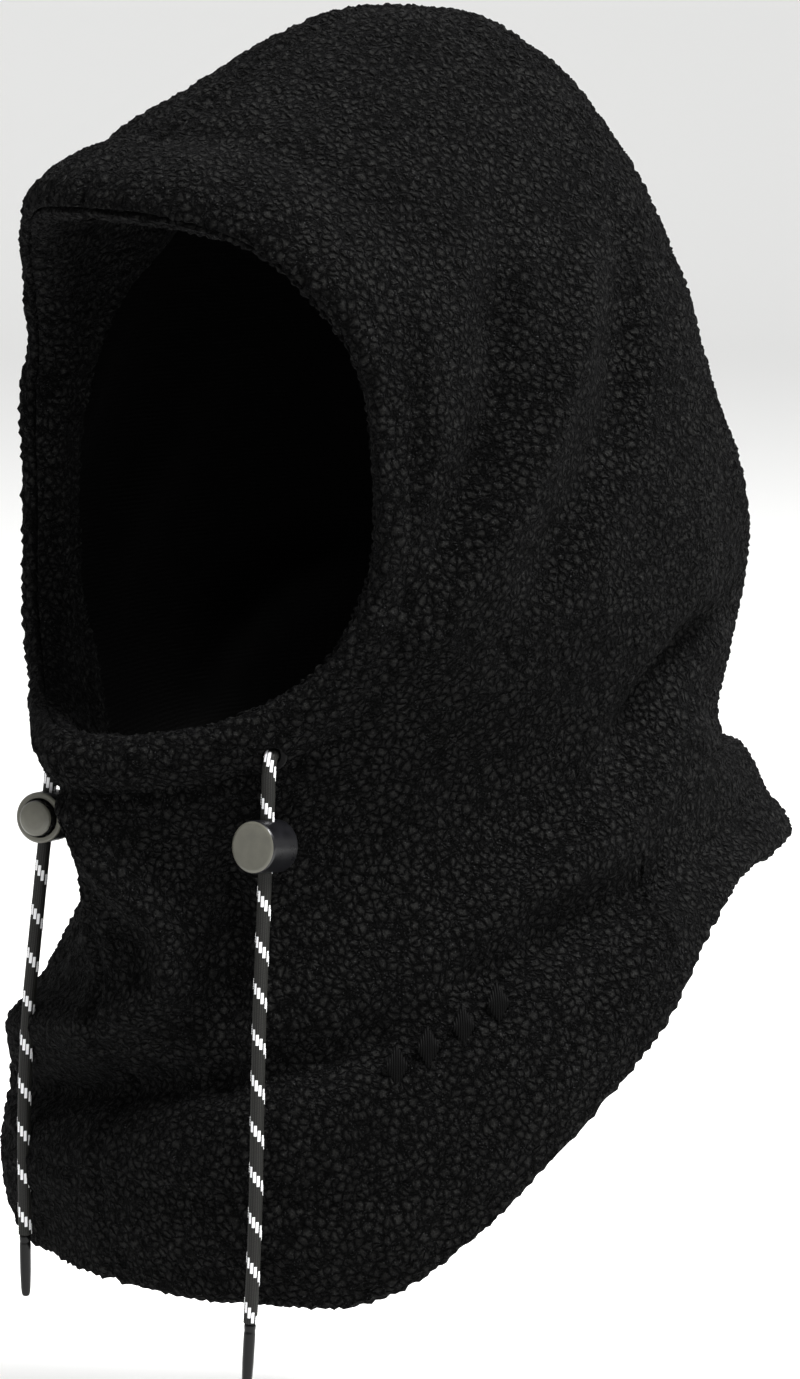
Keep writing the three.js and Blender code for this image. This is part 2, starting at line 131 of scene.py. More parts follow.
def smoothstep(value: np.ndarray, low: float, high: float) -> np.ndarray:
    """Rises smoothly from 0 at low to 1 at high."""
    share = np.clip((value - low) / (high - low), 0.0, 1.0)
    return share * share * (3 - 2 * share)


def hump(value: np.ndarray, rise: float, centre: float, width: float) -> np.ndarray:
    """A bell shape of a given rise, round a centre."""
    return rise * np.exp(-(((value - centre) / width) ** 2))


def make_mesh(
    name: str,
    points: np.ndarray,
    faces: Sequence[Sequence[int]],
    materials: Sequence[bpy.types.Material],
    attributes: Optional[dict[str, np.ndarray]] = None,
) -> bpy.types.Object:
    """Makes a smooth-shaded mesh object from points in millimetres.

    Args:
        name: The piece's name.
        points: N by 3 corner places in millimetres.
        faces: Corner numbers of each face.
        materials: The materials, in slot order.
        attributes: Extra numbers for each corner, by name.

    Returns:
        The new object, linked to the scene.
    """
    mesh = bpy.data.meshes.new(name)
    mesh.from_pydata((np.asarray(points) * MM).tolist(), [], [list(f) for f in faces])
    mesh.validate(clean_customdata=False)
    mesh.shade_smooth()
    for key, values in (attributes or {}).items():
        layer = mesh.attributes.new(key, "FLOAT", "POINT")
        layer.data.foreach_set("value", np.asarray(values, dtype=np.float32))
    for material in materials:
        mesh.materials.append(material)
    piece = bpy.data.objects.new(name, mesh)
    bpy.context.scene.collection.objects.link(piece)
    return piece


def corner_normals(points: np.ndarray, faces: Sequence[Sequence[int]]) -> np.ndarray:
    """Unit normals at the corners, averaged over the faces round each.

    Args:
        points: N by 3 places.
        faces: Corner numbers of each face, counter-clockwise from outside.

    Returns:
        N by 3 unit vectors.
    """
    total = np.zeros_like(points)
    by_size: dict[int, list[Sequence[int]]] = {}
    for face in faces:
        by_size.setdefault(len(face), []).append(face)
    for size, group in by_size.items():
        index = np.array(group)
        corner = points[index]
        way = np.zeros((len(group), 3))
        for k in range(1, size - 1):
            way += np.cross(corner[:, k] - corner[:, 0], corner[:, k + 1] - corner[:, 0])
        for k in range(size):
            np.add.at(total, index[:, k], way)
    length = np.linalg.norm(total, axis=1, keepdims=True)
    return total / np.maximum(length, 1e-9)


def cell_hash(cells: np.ndarray, seed: int) -> np.ndarray:
    """Three even random numbers from 0 to 1 for each integer cell.

    Args:
        cells: N by 3 whole numbers.
        seed: Picks a different pattern.

    Returns:
        N by 3 numbers.
    """
    c = cells.astype(np.int64)
    along, across, up = (c[:, k] * HASH_PRIMES[k] for k in range(3))
    mixed = along ^ across ^ up ^ (seed * HASH_SEED)
    out = np.empty((len(c), 3))
    for k in range(3):
        mixed = (mixed * HASH_FACTOR + HASH_STEP) & 0x7FFFFFFFFFFFFFFF
        out[:, k] = ((mixed >> 20) & 0xFFFFFF) / float(0xFFFFFF)
    return out


def pebbles(points: np.ndarray, size: float, seed: int) -> tuple[np.ndarray, np.ndarray]:
    """Distances to the nearest and second nearest of a jittered set of centres.

    Args:
        points: N by 3 places.
        size: The spacing of the centres.
        seed: Picks a different set.

    Returns:
        The two distances, as shares of the spacing.
    """
    scaled = points / size
    home = np.floor(scaled)
    first = np.full(len(points), 9.0)
    second = np.full(len(points), 9.0)
    for dx in (-1, 0, 1):
        for dy in (-1, 0, 1):
            for dz in (-1, 0, 1):
                cell = home + (dx, dy, dz)
                centre = cell + CELL_MARGIN + (1 - 2 * CELL_MARGIN) * cell_hash(cell, seed)
                gap = np.linalg.norm(scaled - centre, axis=1)
                second = np.minimum(second, np.maximum(first, gap))
                first = np.minimum(first, gap)
    return first, second


def value_noise(points: np.ndarray, size: float, seed: int) -> np.ndarray:
    """Smooth random values from -1 to 1 that change over about one spacing.

    Args:
        points: N by 3 places.
        size: The spacing of the random values.
        seed: Picks a different pattern.

    Returns:
        N values.
    """
    scaled = points / size
    home = np.floor(scaled)
    part = scaled - home
    part = part * part * (3 - 2 * part)
    total = np.zeros(len(points))
    for dx in (0, 1):
        for dy in (0, 1):
            for dz in (0, 1):
                weight = np.ones(len(points))
                for axis, step in enumerate((dx, dy, dz)):
                    weight = weight * (part[:, axis] if step else 1 - part[:, axis])
                total += weight * cell_hash(home + (dx, dy, dz), seed)[:, 0]
    return total * 2 - 1


# ---- Finishes -----------------------------------------------------------------------------------


def new_material(name: str) -> tuple[bpy.types.Material, bpy.types.NodeTree, bpy.types.Node]:
    """Makes a material with one Principled shader.

    Args:
        name: The finish's name.

    Returns:
        The material, its node tree and the shader.
    """
    material = bpy.data.materials.new(name)
    material.use_nodes = True
    tree = material.node_tree
    tree.nodes.clear()
    shader = add_node(tree, "BsdfPrincipled")
    add_node(tree, "OutputMaterial", Surface=shader.outputs["BSDF"])
    return material, tree, shader


def object_place(tree: bpy.types.NodeTree) -> bpy.types.NodeSocket:
    """The place on the piece itself, which stays put when the piece moves."""
    return add_node(tree, "TexCoord").outputs["Object"]


@dataclass(frozen=True)
class CurlyFleece:
    """Black polyester sherpa fleece: knitted pile, brushed and tumbled into small curls.

    The curls are about 2.8 mm across. Their colour is painted shade: darkest in the gaps between
    curls, darker towards each curl's edge and lighter on its top. Each is made of crimped fibres,
    which scatter light at grazing angles, so the cloth's edges look softly lighter.
    """

    name: str = "curly_pile_fleece"
    # crown is the colour of the lit curl tops, and gap is painted shade in the clefts between curls.
    crown: str = "#232322"
    gap: str = "#010101"
    fibre_tip: str = "#454546"
    curl_mm: float = 2.5
    crimp_mm: float = 0.8
    frizz_mm: float = 1.3
    depth_mm: float = 2.1
    sheen: float = 0.012

    def make(self) -> bpy.types.Material:
        """Builds the material."""
        material, tree, shader = new_material(self.name)
        place = object_place(tree)
        drift = add_node(tree, "TexNoise", Vector=place, Scale=1 / (2.2 * self.curl_mm * MM), Detail=2.0)
        pulled = add_node(
            tree, "VectorMath", {"operation": "MULTIPLY_ADD"}, i0=drift.outputs["Color"],
            i1=(0.0022, 0.0022, 0.0022), i2=place,
        )
        frizz = add_node(
            tree, "TexNoise", Vector=place, Scale=1 / (self.frizz_mm * MM), Detail=2.0, Roughness=0.6,
        )
        ragged = add_node(
            tree, "VectorMath", {"operation": "MULTIPLY_ADD"}, i0=frizz.outputs["Color"],
            i1=(0.0015, 0.0015, 0.0015), i2=pulled.outputs[0],
        )
        curl = add_node(
            tree, "TexVoronoi", {"feature": "F1"}, Vector=ragged.outputs[0],
            Scale=1 / (self.curl_mm * MM), Randomness=1.0,
        )
        mound = add_node(
            tree, "MapRange", {"interpolation_type": "SMOOTHSTEP"}, Value=curl.outputs["Distance"],
            From_Min=0.85, From_Max=0.1, To_Min=0.25,
        )
        edge = add_node(
            tree, "TexVoronoi", {"feature": "DISTANCE_TO_EDGE"}, Vector=ragged.outputs[0],
            Scale=1 / (self.curl_mm * MM), Randomness=1.0,
        )
        cleft = add_node(
            tree, "MapRange", {"interpolation_type": "SMOOTHSTEP"}, Value=edge.outputs["Distance"],
            From_Min=0.0, From_Max=0.3,
        )
        body = add_node(tree, "Math", {"operation": "MULTIPLY"}, i0=mound.outputs[0], i1=cleft.outputs[0])
        crimp = add_node(
            tree, "TexNoise", Vector=place, Scale=1 / (self.crimp_mm * MM), Detail=3.0, Roughness=0.65,
            Distortion=0.6,
        )
        fine = add_node(tree, "MapRange", Value=crimp.outputs["Fac"], From_Min=0.3, From_Max=0.7)
        height = add_node(
            tree, "Math", {"operation": "MULTIPLY_ADD"}, i0=fine.outputs[0], i1=0.32, i2=body.outputs[0],
        )
        bump = add_node(tree, "Bump", Strength=1.0, Distance=self.depth_mm * MM, Height=height.outputs[0])
        broad = add_node(tree, "TexNoise", Vector=place, Scale=38.0, Detail=2.0)
        shade = add_node(
            tree, "MapRange", Value=broad.outputs["Fac"], From_Min=0.3, From_Max=0.7, To_Min=0.75,
            To_Max=1.15,
        )
        # The curl's height also sets its colour, as painted shade: darker towards each curl's edge and
        # darkest in the clefts. The broad noise varies the tone at random.
        lit = add_node(
            tree, "Math", {"operation": "MULTIPLY", "use_clamp": True}, i0=body.outputs[0],
            i1=shade.outputs[0],
        )
        # The crimp's fine hollows are painted darker too, as painted shade.
        crimped = add_node(
            tree, "MapRange", Value=crimp.outputs["Fac"], From_Min=0.36, From_Max=0.64, To_Min=0.4,
            To_Max=1.1,
        )
        lit = add_node(
            tree, "Math", {"operation": "MULTIPLY", "use_clamp": True}, i0=lit.outputs[0],
            i1=crimped.outputs[0],
        )
        ground = add_node(
            tree, "Mix", {"data_type": "RGBA"}, Factor=lit.outputs[0], A=linear(self.gap),
            B=linear(self.crown),
        )
        tips = add_node(tree, "TexNoise", Vector=place, Scale=1 / (0.45 * MM), Detail=1.0)
        speck = add_node(
            tree, "MapRange", Value=tips.outputs["Fac"], From_Min=0.66, From_Max=0.76, To_Min=0.0,
            To_Max=0.55,
        )
        colour = add_node(
            tree, "Mix", {"data_type": "RGBA"}, Factor=speck.outputs[0], A=ground.outputs[2],
            B=linear(self.fibre_tip),
        )
        tree.links.new(colour.outputs[2], shader.inputs["Base Color"])
        tree.links.new(bump.outputs["Normal"], shader.inputs["Normal"])
        shader.inputs["Roughness"].default_value = 0.92
        shader.inputs["IOR"].default_value = 1.5
        shader.inputs["Specular IOR Level"].default_value = 0.03
        shader.inputs["Sheen Weight"].default_value = self.sheen
        shader.inputs["Sheen Roughness"].default_value = 0.45
        shader.inputs["Sheen Tint"].default_value = linear("#c9c9cf")
        return material


@dataclass(frozen=True)
class KnitBack:
    """The fleece's knitted back: fine flat wales of black polyester, smooth and almost matt.
    Its colour is black yarn set darker than the pile, as painted shade for the hood's inside,
    and the valleys between loops are painted shade.
    """

    name: str = "knitted_fleece_back"
    # yarn is black yarn made darker as painted shade for the inside, and valley is painted shade between
    # the loops.
    yarn: str = "#030303"
    valley: str = "#010101"
    wale_mm: float = 1.4

    def make(self) -> bpy.types.Material:
        """Builds the material."""
        material, tree, shader = new_material(self.name)
        place = object_place(tree)
        wales = add_node(
            tree, "TexWave", {"bands_direction": "X"}, Vector=place, Scale=1 / (self.wale_mm * MM) / 3.2,
            Distortion=1.2, Detail=1.0,
        )
        courses = add_node(
            tree, "TexWave", {"bands_direction": "Z"}, Vector=place, Scale=1 / (self.wale_mm * MM) / 3.2,
            Distortion=1.2, Detail=1.0,
        )
        loops = add_node(
            tree, "Math", {"operation": "MULTIPLY"}, i0=wales.outputs["Fac"], i1=courses.outputs["Fac"],
        )
        # The loops darken the colour towards valley where the knit sinks, as painted shade.
        colour = add_node(
            tree, "Mix", {"data_type": "RGBA"}, Factor=loops.outputs[0], A=linear(self.valley),
            B=linear(self.yarn),
        )
        bump = add_node(tree, "Bump", Strength=0.4, Distance=0.0004, Height=loops.outputs[0])
        tree.links.new(colour.outputs[2], shader.inputs["Base Color"])
        tree.links.new(bump.outputs["Normal"], shader.inputs["Normal"])
        shader.inputs["Roughness"].default_value = 0.95
        shader.inputs["Specular IOR Level"].default_value = 0.03
        return material


@dataclass(frozen=True)
class KnittedCord:
    """Polyester drawcord knitted round a core: fine ribs, with pale tracer yarns let in as dashes.

    The ribs are about 0.42 mm apart with stitches 0.7 mm long. The tracer is a bright glazed yarn.
    """

    name: str = "knitted_polyester_cord"
    yarn: str = "#262623"
    # valley is painted shade, the dark of the grooves between ribs and stitches.
    valley: str = "#020202"
    tracer: str = "#dcdcde"

    def make(self) -> bpy.types.Material:
        """Builds the material, which reads the cord mesh's own rib and tracer numbers."""
        material, tree, shader = new_material(self.name)
        rib = add_node(tree, "Attribute", {"attribute_name": "rib"})
        tracer = add_node(tree, "Attribute", {"attribute_name": "tracer"})
        # The rib number darkens the colour in the grooves between ribs and stitches, as painted shade;
        # the tracer dashes are the yarn's own colour.
        ground = add_node(
            tree, "Mix", {"data_type": "RGBA"}, Factor=rib.outputs["Fac"], A=linear(self.valley),
            B=linear(self.yarn),
        )
        fuzz = add_node(tree, "TexNoise", Vector=object_place(tree), Scale=1 / (0.3 * MM), Detail=2.0)
        bump = add_node(tree, "Bump", Strength=0.25, Distance=0.0002, Height=fuzz.outputs["Fac"])
        dash = add_node(
            tree, "MapRange", {"interpolation_type": "SMOOTHSTEP"}, Value=tracer.outputs["Fac"],
            From_Min=0.35, From_Max=0.65,
        )
        colour = add_node(
            tree, "Mix", {"data_type": "RGBA"}, Factor=dash.outputs[0], A=ground.outputs[2],
            B=linear(self.tracer),
        )
        tree.links.new(colour.outputs[2], shader.inputs["Base Color"])
        tree.links.new(bump.outputs["Normal"], shader.inputs["Normal"])
        shader.inputs["Roughness"].default_value = 0.6
        shader.inputs["Specular IOR Level"].default_value = 0.2
        return material


@dataclass(frozen=True)
class Moulded:
    """A hard finish with faint unevenness: moulded plastic, enamel or plain steel.

    grain_mm is the spacing of the surface's fine texture, and grain is how deep it looks.
    """

    name: str
    colour: str
    worn: str
    roughness: float
    metallic: float = 0.0
    grain_mm: float = 0.4
    grain: float = 0.1
    coat: float = 0.0
    specular: float = 0.5

    def make(self) -> bpy.types.Material:
        """Builds the material."""
        material, tree, shader = new_material(self.name)
        place = object_place(tree)
        texture = add_node(tree, "TexNoise", Vector=place, Scale=1 / (self.grain_mm * MM), Detail=3.0)
        handled = add_node(tree, "TexNoise", Vector=place, Scale=260.0, Detail=3.0)
        share = add_node(
            tree, "MapRange", Value=handled.outputs["Fac"], From_Min=0.35, From_Max=0.75, To_Min=0.0,
            To_Max=0.6,
        )
        colour = add_node(
            tree, "Mix", {"data_type": "RGBA"}, Factor=share.outputs[0], A=linear(self.colour),
            B=linear(self.worn),
        )
        rough = add_node(
            tree, "MapRange", Value=handled.outputs["Fac"], From_Min=0.3, From_Max=0.7,
            To_Min=self.roughness * 0.85, To_Max=self.roughness * 1.15,
        )
        bump = add_node(tree, "Bump", Strength=self.grain, Distance=0.0001, Height=texture.outputs["Fac"])
        tree.links.new(colour.outputs[2], shader.inputs["Base Color"])
        tree.links.new(rough.outputs[0], shader.inputs["Roughness"])
        tree.links.new(bump.outputs["Normal"], shader.inputs["Normal"])
        shader.inputs["Metallic"].default_value = self.metallic
        shader.inputs["Coat Weight"].default_value = self.coat
        shader.inputs["Specular IOR Level"].default_value = self.specular
        return material


@dataclass(frozen=True)
class Thread:
    """Black rayon embroidery thread laid in satin stitch: fine strands with a soft gloss."""

    name: str = "satin_stitch_thread"
    colour: str = "#070707"

    def make(self) -> bpy.types.Material:
        """Builds the material."""
        material, tree, shader = new_material(self.name)
        strands = add_node(tree, "TexNoise", Vector=object_place(tree), Scale=1 / (0.25 * MM), Detail=2.0)
        colour = add_node(
            tree, "Mix", {"data_type": "RGBA"}, Factor=strands.outputs["Fac"], A=linear("#010101"),
            B=linear(self.colour),
        )
        bump = add_node(tree, "Bump", Strength=0.3, Distance=0.0002, Height=strands.outputs["Fac"])
        tree.links.new(colour.outputs[2], shader.inputs["Base Color"])
        tree.links.new(bump.outputs["Normal"], shader.inputs["Normal"])
        shader.inputs["Roughness"].default_value = 0.6
        shader.inputs["Specular IOR Level"].default_value = 0.05
        return material


@dataclass(frozen=True)
class PaintedFloor:
    """Matt white studio floor paint, rolled on, with the roller's faint stipple."""

    name: str = "matt_white_floor"
    colour: str = "#f4f4f3"

    def make(self) -> bpy.types.Material:
        """Builds the material."""
        material, tree, shader = new_material(self.name)
        stipple = add_node(tree, "TexNoise", Vector=object_place(tree), Scale=400.0, Detail=2.0)
        bump = add_node(tree, "Bump", Strength=0.02, Distance=0.0005, Height=stipple.outputs["Fac"])
        tree.links.new(bump.outputs["Normal"], shader.inputs["Normal"])
        shader.inputs["Base Color"].default_value = linear(self.colour)
        shader.inputs["Roughness"].default_value = 0.9
        return material


# ---- The hood's form ----------------------------------------------------------------------------


def uniform_spline(level: np.ndarray, points: np.ndarray) -> np.ndarray:
    """A uniform Catmull-Rom curve through points, whose ends are held.

    Args:
        level: Places along the curve, from 0 to 1.
        points: M by D places.

    Returns:
        The places, with D numbers each.
    """
    count = len(points)
    scaled = np.clip(level, 0.0, 1.0) * (count - 1)
    index = np.minimum(np.floor(scaled).astype(int), count - 1)
    part = (scaled - index)[..., None]
    before, here = points[np.maximum(index - 1, 0)], points[index]
    after, beyond = points[np.minimum(index + 1, count - 1)], points[np.minimum(index + 2, count - 1)]
    start, end = (after - before) / 2, (beyond - here) / 2
    return (
        (2 * here - 2 * after + start + end) * part**3
        + (3 * after - 3 * here - 2 * start - end) * part**2
        + start * part
        + here
    )


@dataclass(frozen=True)
class HoodForm:
    """The hood's smooth outer face, its hem and its face opening, in millimetres.

    The profiles run down the centre front, the side and the centre back, as [reach, drop] shares.
    Fullness draws the front half of each ring in to a keel under the chin.
    """

    half_width: float = 98.0
    front_reach: float = 140.0
    back_reach: float = 110.0
    drop: float = 355.0
    fabric: float = 4.0
    opening_half_width: float = 79.0
    opening_half_height: float = 75.0
    opening_centre: float = -123.0
    opening_power: float = 2.7
    facing_side: float = 7.0
    facing_end: float = 25.0
    tunnel_side: float = 3.2
    tunnel_end: float = 14.0
    eyelet_turn: float = math.radians(-60)
    front_hem: float = -359.0
    back_hem: float = -246.0
    climb_from: float = math.radians(35)
    climb_to: float = math.radians(116)
    front: tuple = (
        (0, 0), (0.19, 0.007), (0.37, 0.037), (0.61, 0.083), (0.885, 0.134), (0.985, 0.187),
        (0.995, 0.28), (0.965, 0.378), (0.95, 0.475), (0.97, 0.558), (0.975, 0.615), (0.945, 0.67),
        (0.895, 0.735), (0.845, 0.81), (0.86, 0.885), (0.87, 0.955), (0.84, 1.06),
    )
    side: tuple = (
        (0, 0), (0.205, 0.007), (0.37, 0.034), (0.55, 0.079), (0.73, 0.146), (0.875, 0.23),
        (0.955, 0.315), (1, 0.405), (1, 0.49), (0.96, 0.568), (0.945, 0.625), (0.985, 0.66),
        (1.08, 0.705), (1.15, 0.78), (1.165, 0.885), (1.16, 0.975), (1.13, 1.06),
    )
    back: tuple = (
        (0, 0), (0.2, 0.006), (0.355, 0.031), (0.51, 0.074), (0.64, 0.14), (0.745, 0.22),
        (0.84, 0.31), (0.965, 0.398), (1, 0.48), (0.915, 0.565), (0.88, 0.608), (1.01, 0.634),
        (1.145, 0.668), (1.205, 0.705), (1.2, 0.82), (1.17, 0.93), (1.13, 1.06),
    )
    left_fullness: tuple = (
        2, 2, 2, 2, 2.2, 2.55, 2.45, 2.25, 2.05, 1.62, 1.42, 1.33, 1.35, 1.65, 1.95, 2, 2,
    )
    right_fullness: tuple = (
        2, 2, 2, 2, 2.1, 2.25, 2.2, 2.1, 1.98, 1.62, 1.28, 1.08, 1.12, 1.55, 2.1, 2.15, 2.1,
    )

    def profile(self, shares: tuple, reach: float, level: np.ndarray, inset: np.ndarray) -> np.ndarray:
        """A profile's points, moved in by inset square to the profile.

        Args:
            shares: The profile's [reach, drop] shares.
            reach: What a share of one is, in millimetres.
            level: Places from 0 at the crown to 1.
            inset: Depth inside the outer face.

        Returns:
            Distance out from the axis, and height.
        """
        points = np.array([(a * reach, self.fabric - b * self.drop) for a, b in shares])
        step = 1e-4
        here = uniform_spline(level, points)
        way = uniform_spline(level + step, points) - uniform_spline(level - step, points)
        way /= np.linalg.norm(way, axis=-1, keepdims=True)
        out = np.maximum(here[..., 0] + way[..., 1] * inset, 0)
        return np.stack([out, here[..., 1] - way[..., 0] * inset], axis=-1)

    def fullness(self, level: np.ndarray, left: np.ndarray) -> np.ndarray:
        """How full the front half of the ring is at a level, on the left or the right."""
        sides = [
            uniform_spline(level, np.array(values, dtype=float)[:, None])[..., 0]
            for values in (self.left_fullness, self.right_fullness)
        ]
        return np.where(left, sides[0], sides[1])

    def point(self, angle: np.ndarray, level: np.ndarray, inset: np.ndarray | float = 0.0) -> np.ndarray:
        """The hood at an angle from the centre front towards +X, and a level from the crown down.

        Args:
            angle: Angles in radians.
            level: Levels from 0 to 1.
            inset: Depth inside the outer face in millimetres.

        Returns:
            Places with three numbers each.
        """
        angle, level, inset = np.broadcast_arrays(
            np.asarray(angle, dtype=float), np.asarray(level, dtype=float), np.asarray(inset, dtype=float)
        )
        ahead, aside = np.cos(angle), np.sin(angle)
        at_front = ahead > 0
        side = self.profile(self.side, self.half_width, level, inset)
        front = self.profile(self.front, self.front_reach, level, inset)
        back = self.profile(self.back, self.back_reach, level, inset)
        end = np.where(at_front[..., None], front, back)
        power = np.where(at_front, 2 / self.fullness(level, aside >= 0), 1.0)
        return np.stack(
            [
                side[..., 0] * np.sign(aside) * np.abs(aside) ** power,
                -end[..., 0] * np.sign(ahead) * np.abs(ahead) ** power,
                side[..., 1] + (end[..., 1] - side[..., 1]) * ahead * ahead,
            ],
            axis=-1,
        )

    def level_at(self, angle: np.ndarray, height: np.ndarray) -> np.ndarray:
        """The level at which the hood reaches a height, found by halving."""
        angle, height = np.broadcast_arrays(np.asarray(angle, float), np.asarray(height, float))
        low, high = np.zeros(angle.shape), np.ones(angle.shape)
        for _ in range(34):
            middle = (low + high) / 2
            above = self.point(angle, middle)[..., 2] > height
            low = np.where(above, middle, low)
            high = np.where(above, high, middle)
        return (low + high) / 2

    def hem_height(self, angle: np.ndarray) -> np.ndarray:
        """The hem's height, low at the front and high at the nape."""
        turned = np.abs(np.arctan2(np.sin(angle), np.cos(angle)))
        climb = smoothstep(turned, self.climb_from, self.climb_to)
        return self.front_hem + (self.back_hem - self.front_hem) * climb

    def outline(self, turn: np.ndarray, grown: np.ndarray | float) -> tuple[np.ndarray, np.ndarray]:
        """The opening's outline in the front view.

        Args:
            turn: Angles round the opening's centre.
            grown: 0 at the opening's edge and 1 at the facing's edge.

        Returns:
            Sideways place and height.
        """
        across, up = np.cos(turn), np.sin(turn)
        power = 2 / self.opening_power
        wide = self.opening_half_width + self.facing_side * grown
        tall = self.opening_half_height + self.facing_end * grown
        x = wide * np.sign(across) * np.abs(across) ** power
        z = tall * np.sign(up) * np.abs(up) ** power
        return x, self.opening_centre + z

    def beyond_rim(self, x: np.ndarray, z: np.ndarray) -> np.ndarray:
        """How far a point of the front view is outside the opening, in widths of the facing."""
        low, high = np.full(x.shape, -8.0), np.full(x.shape, 8.0)
        for _ in range(26):
            middle = (low + high) / 2
            wide = np.maximum(self.opening_half_width + self.facing_side * middle, 1.0)
            tall = np.maximum(self.opening_half_height + self.facing_end * middle, 1.0)
            outside = (np.abs(x) / wide) ** self.opening_power + (
                np.abs(z - self.opening_centre) / tall
            ) ** self.opening_power > 1
            low = np.where(outside, middle, low)
            high = np.where(outside, high, middle)
        return (low + high) / 2

    def turn_of(self, x: np.ndarray, z: np.ndarray, grown: float) -> np.ndarray:
        """The turn whose outline point, grown by that much, is nearest to a front-view point."""
        wide = self.opening_half_width + self.facing_side * grown
        tall = self.opening_half_height + self.facing_end * grown
        power = self.opening_power / 2
        rise = z - self.opening_centre
        across = np.sign(x) * (np.abs(x) / wide) ** power
        up = np.sign(rise) * (np.abs(rise) / tall) ** power
        return np.arctan2(up, across)

    def place_in_front(self, x: np.ndarray, z: np.ndarray) -> tuple[np.ndarray, np.ndarray]:
        """Where a point of the front view lies on the hood, as an angle and a level."""
        angle = np.arcsin(np.clip(x / self.half_width, -0.95, 0.95))
        level = self.level_at(angle, z)
        side_points = np.array([(a * self.half_width, self.fabric - b * self.drop) for a, b in self.side])
        for _ in range(12):
            reach = uniform_spline(level, side_points)[..., 0]
            fullness = self.fullness(level, x >= 0)
            share = np.minimum(np.abs(x) / reach, 0.98)
            angle = np.sign(x) * np.arcsin(share ** (fullness / 2))
            level = self.level_at(angle, z)
        return angle, level

    def rim(self, turn: np.ndarray, grown: np.ndarray | float, inset: np.ndarray | float) -> np.ndarray:
        """A point beside the face opening: its turn round it, how far out and how deep."""
        x, z = self.outline(turn, grown)
        angle, level = self.place_in_front(x, z)
        return self.point(angle, level, inset)

    def on(self, degrees: float, height: float) -> np.ndarray:
        """The outer face at an angle in degrees and a height."""
        angle = math.radians(degrees)
        return self.point(angle, self.level_at(angle, height))


FORM = HoodForm()


# ---- Folds and pile -----------------------------------------------------------------------------


@dataclass(frozen=True)
class Fold:
    """A soft ridge or valley in the cloth.

    The route is a list of (degrees from the centre front, height in mm). A positive rise stands
    out of the cloth, and the width is how far to each side it fades over. The fold fades over a
    share of its length at each end, down to what end_keep leaves of it.
    """

    route: tuple
    rise: float
    width: float
    end_share: float = 0.3
    end_keep: float = 0.35

    def lift(self, points: np.ndarray, form: HoodForm) -> np.ndarray:
        """How far this fold moves each point outwards.

        Args:
            points: N by 3 places on the cloth.
            form: The hood's form, which the route lies on.

        Returns:
            N distances in millimetres.
        """
        ends = np.array([form.on(a, z) for a, z in self.route])
        best = np.full(len(points), 1e9)
        along = np.zeros(len(points))
        lengths = np.linalg.norm(ends[1:] - ends[:-1], axis=1)
        run = np.concatenate([[0.0], np.cumsum(lengths)])
        reach = 4 * self.width
        near = np.all((points > ends.min(axis=0) - reach) & (points < ends.max(axis=0) + reach), axis=1)
        spots = points[near]
        local_best, local_along = best[near], along[near]
        for k, length in enumerate(lengths):
            way = (ends[k + 1] - ends[k]) / max(length, 1e-6)
            offset = spots - ends[k]
            t = np.clip(offset @ way, 0, length)
            gap = np.linalg.norm(offset - t[:, None] * way, axis=1)
            closer = gap < local_best
            local_best = np.where(closer, gap, local_best)
            local_along = np.where(closer, run[k] + t, local_along)
        fade = np.minimum(local_along, run[-1] - local_along) / (self.end_share * run[-1])
        ends_soft = self.end_keep + (1 - self.end_keep) * smoothstep(fade, 0.0, 1.0)
        out = np.zeros(len(points))
        out[near] = self.rise * ends_soft * np.exp(-((local_best / self.width) ** 2))
        return out


LEFT_FOLDS = (
    Fold(((-42, -320), (-25, -314), (-11, -309), (1, -304), (11, -300), (20, -297)), -11.0, 6.5),
    Fold(((11, -300), (20, -297), (27, -294), (37, -289), (46, -281)), -6.5, 7.0),
    Fold(((-42, -300), (-27, -297), (-10, -289), (8, -280), (17, -271), (23, -259)), 9.0, 9.0),
    Fold(((-34, -334), (-10, -330), (10, -322), (30, -314)), 3.5, 10.0),
    Fold(((33, -222), (31, -234), (30, -248), (27, -262), (24, -276), (21, -289)), -7.0, 6.0),
    Fold(((2, -222), (9, -228), (14, -240), (18, -248), (20, -257), (18, -270), (11, -279)), 9.0, 6.0),
    Fold(((-1, -232), (-6, -250), (-9, -266), (-8, -278)), 2.0, 4.0),
    Fold(((90, -60), (86, -86), (80, -111), (73, -131), (66, -150), (59, -167)), 6.0, 8.5),
    Fold(((78, -55), (76, -84), (73, -104), (68, -122), (61, -142), (56, -158)), -6.5, 7.5),
    Fold(((98, -60), (93, -87), (89, -112), (83, -133), (76, -152), (69, -173)), -6.5, 8.5),
    Fold(((62, -70), (64, -95), (62, -125), (57, -150)), 1.8, 6.0),
    Fold(((124, -172), (107, -180), (97, -192), (90, -206), (85, -219)), -8.5, 7.5),
    Fold(((129, -215), (106, -207), (93, -212), (80, -222), (70, -232)), 4.5, 7.0),
    Fold(
        ((150, -238), (107, -239), (82, -247), (67, -256), (56, -268), (49, -276), (43, -284)),
        -7.5, 8.5,
    ),
    Fold(((127, -216), (98, -222), (76, -236), (62, -250), (52, -263)), 6.5, 9.0),
    Fold(((110, -262), (85, -276), (66, -300), (52, -318)), 2.0, 11.0),
)
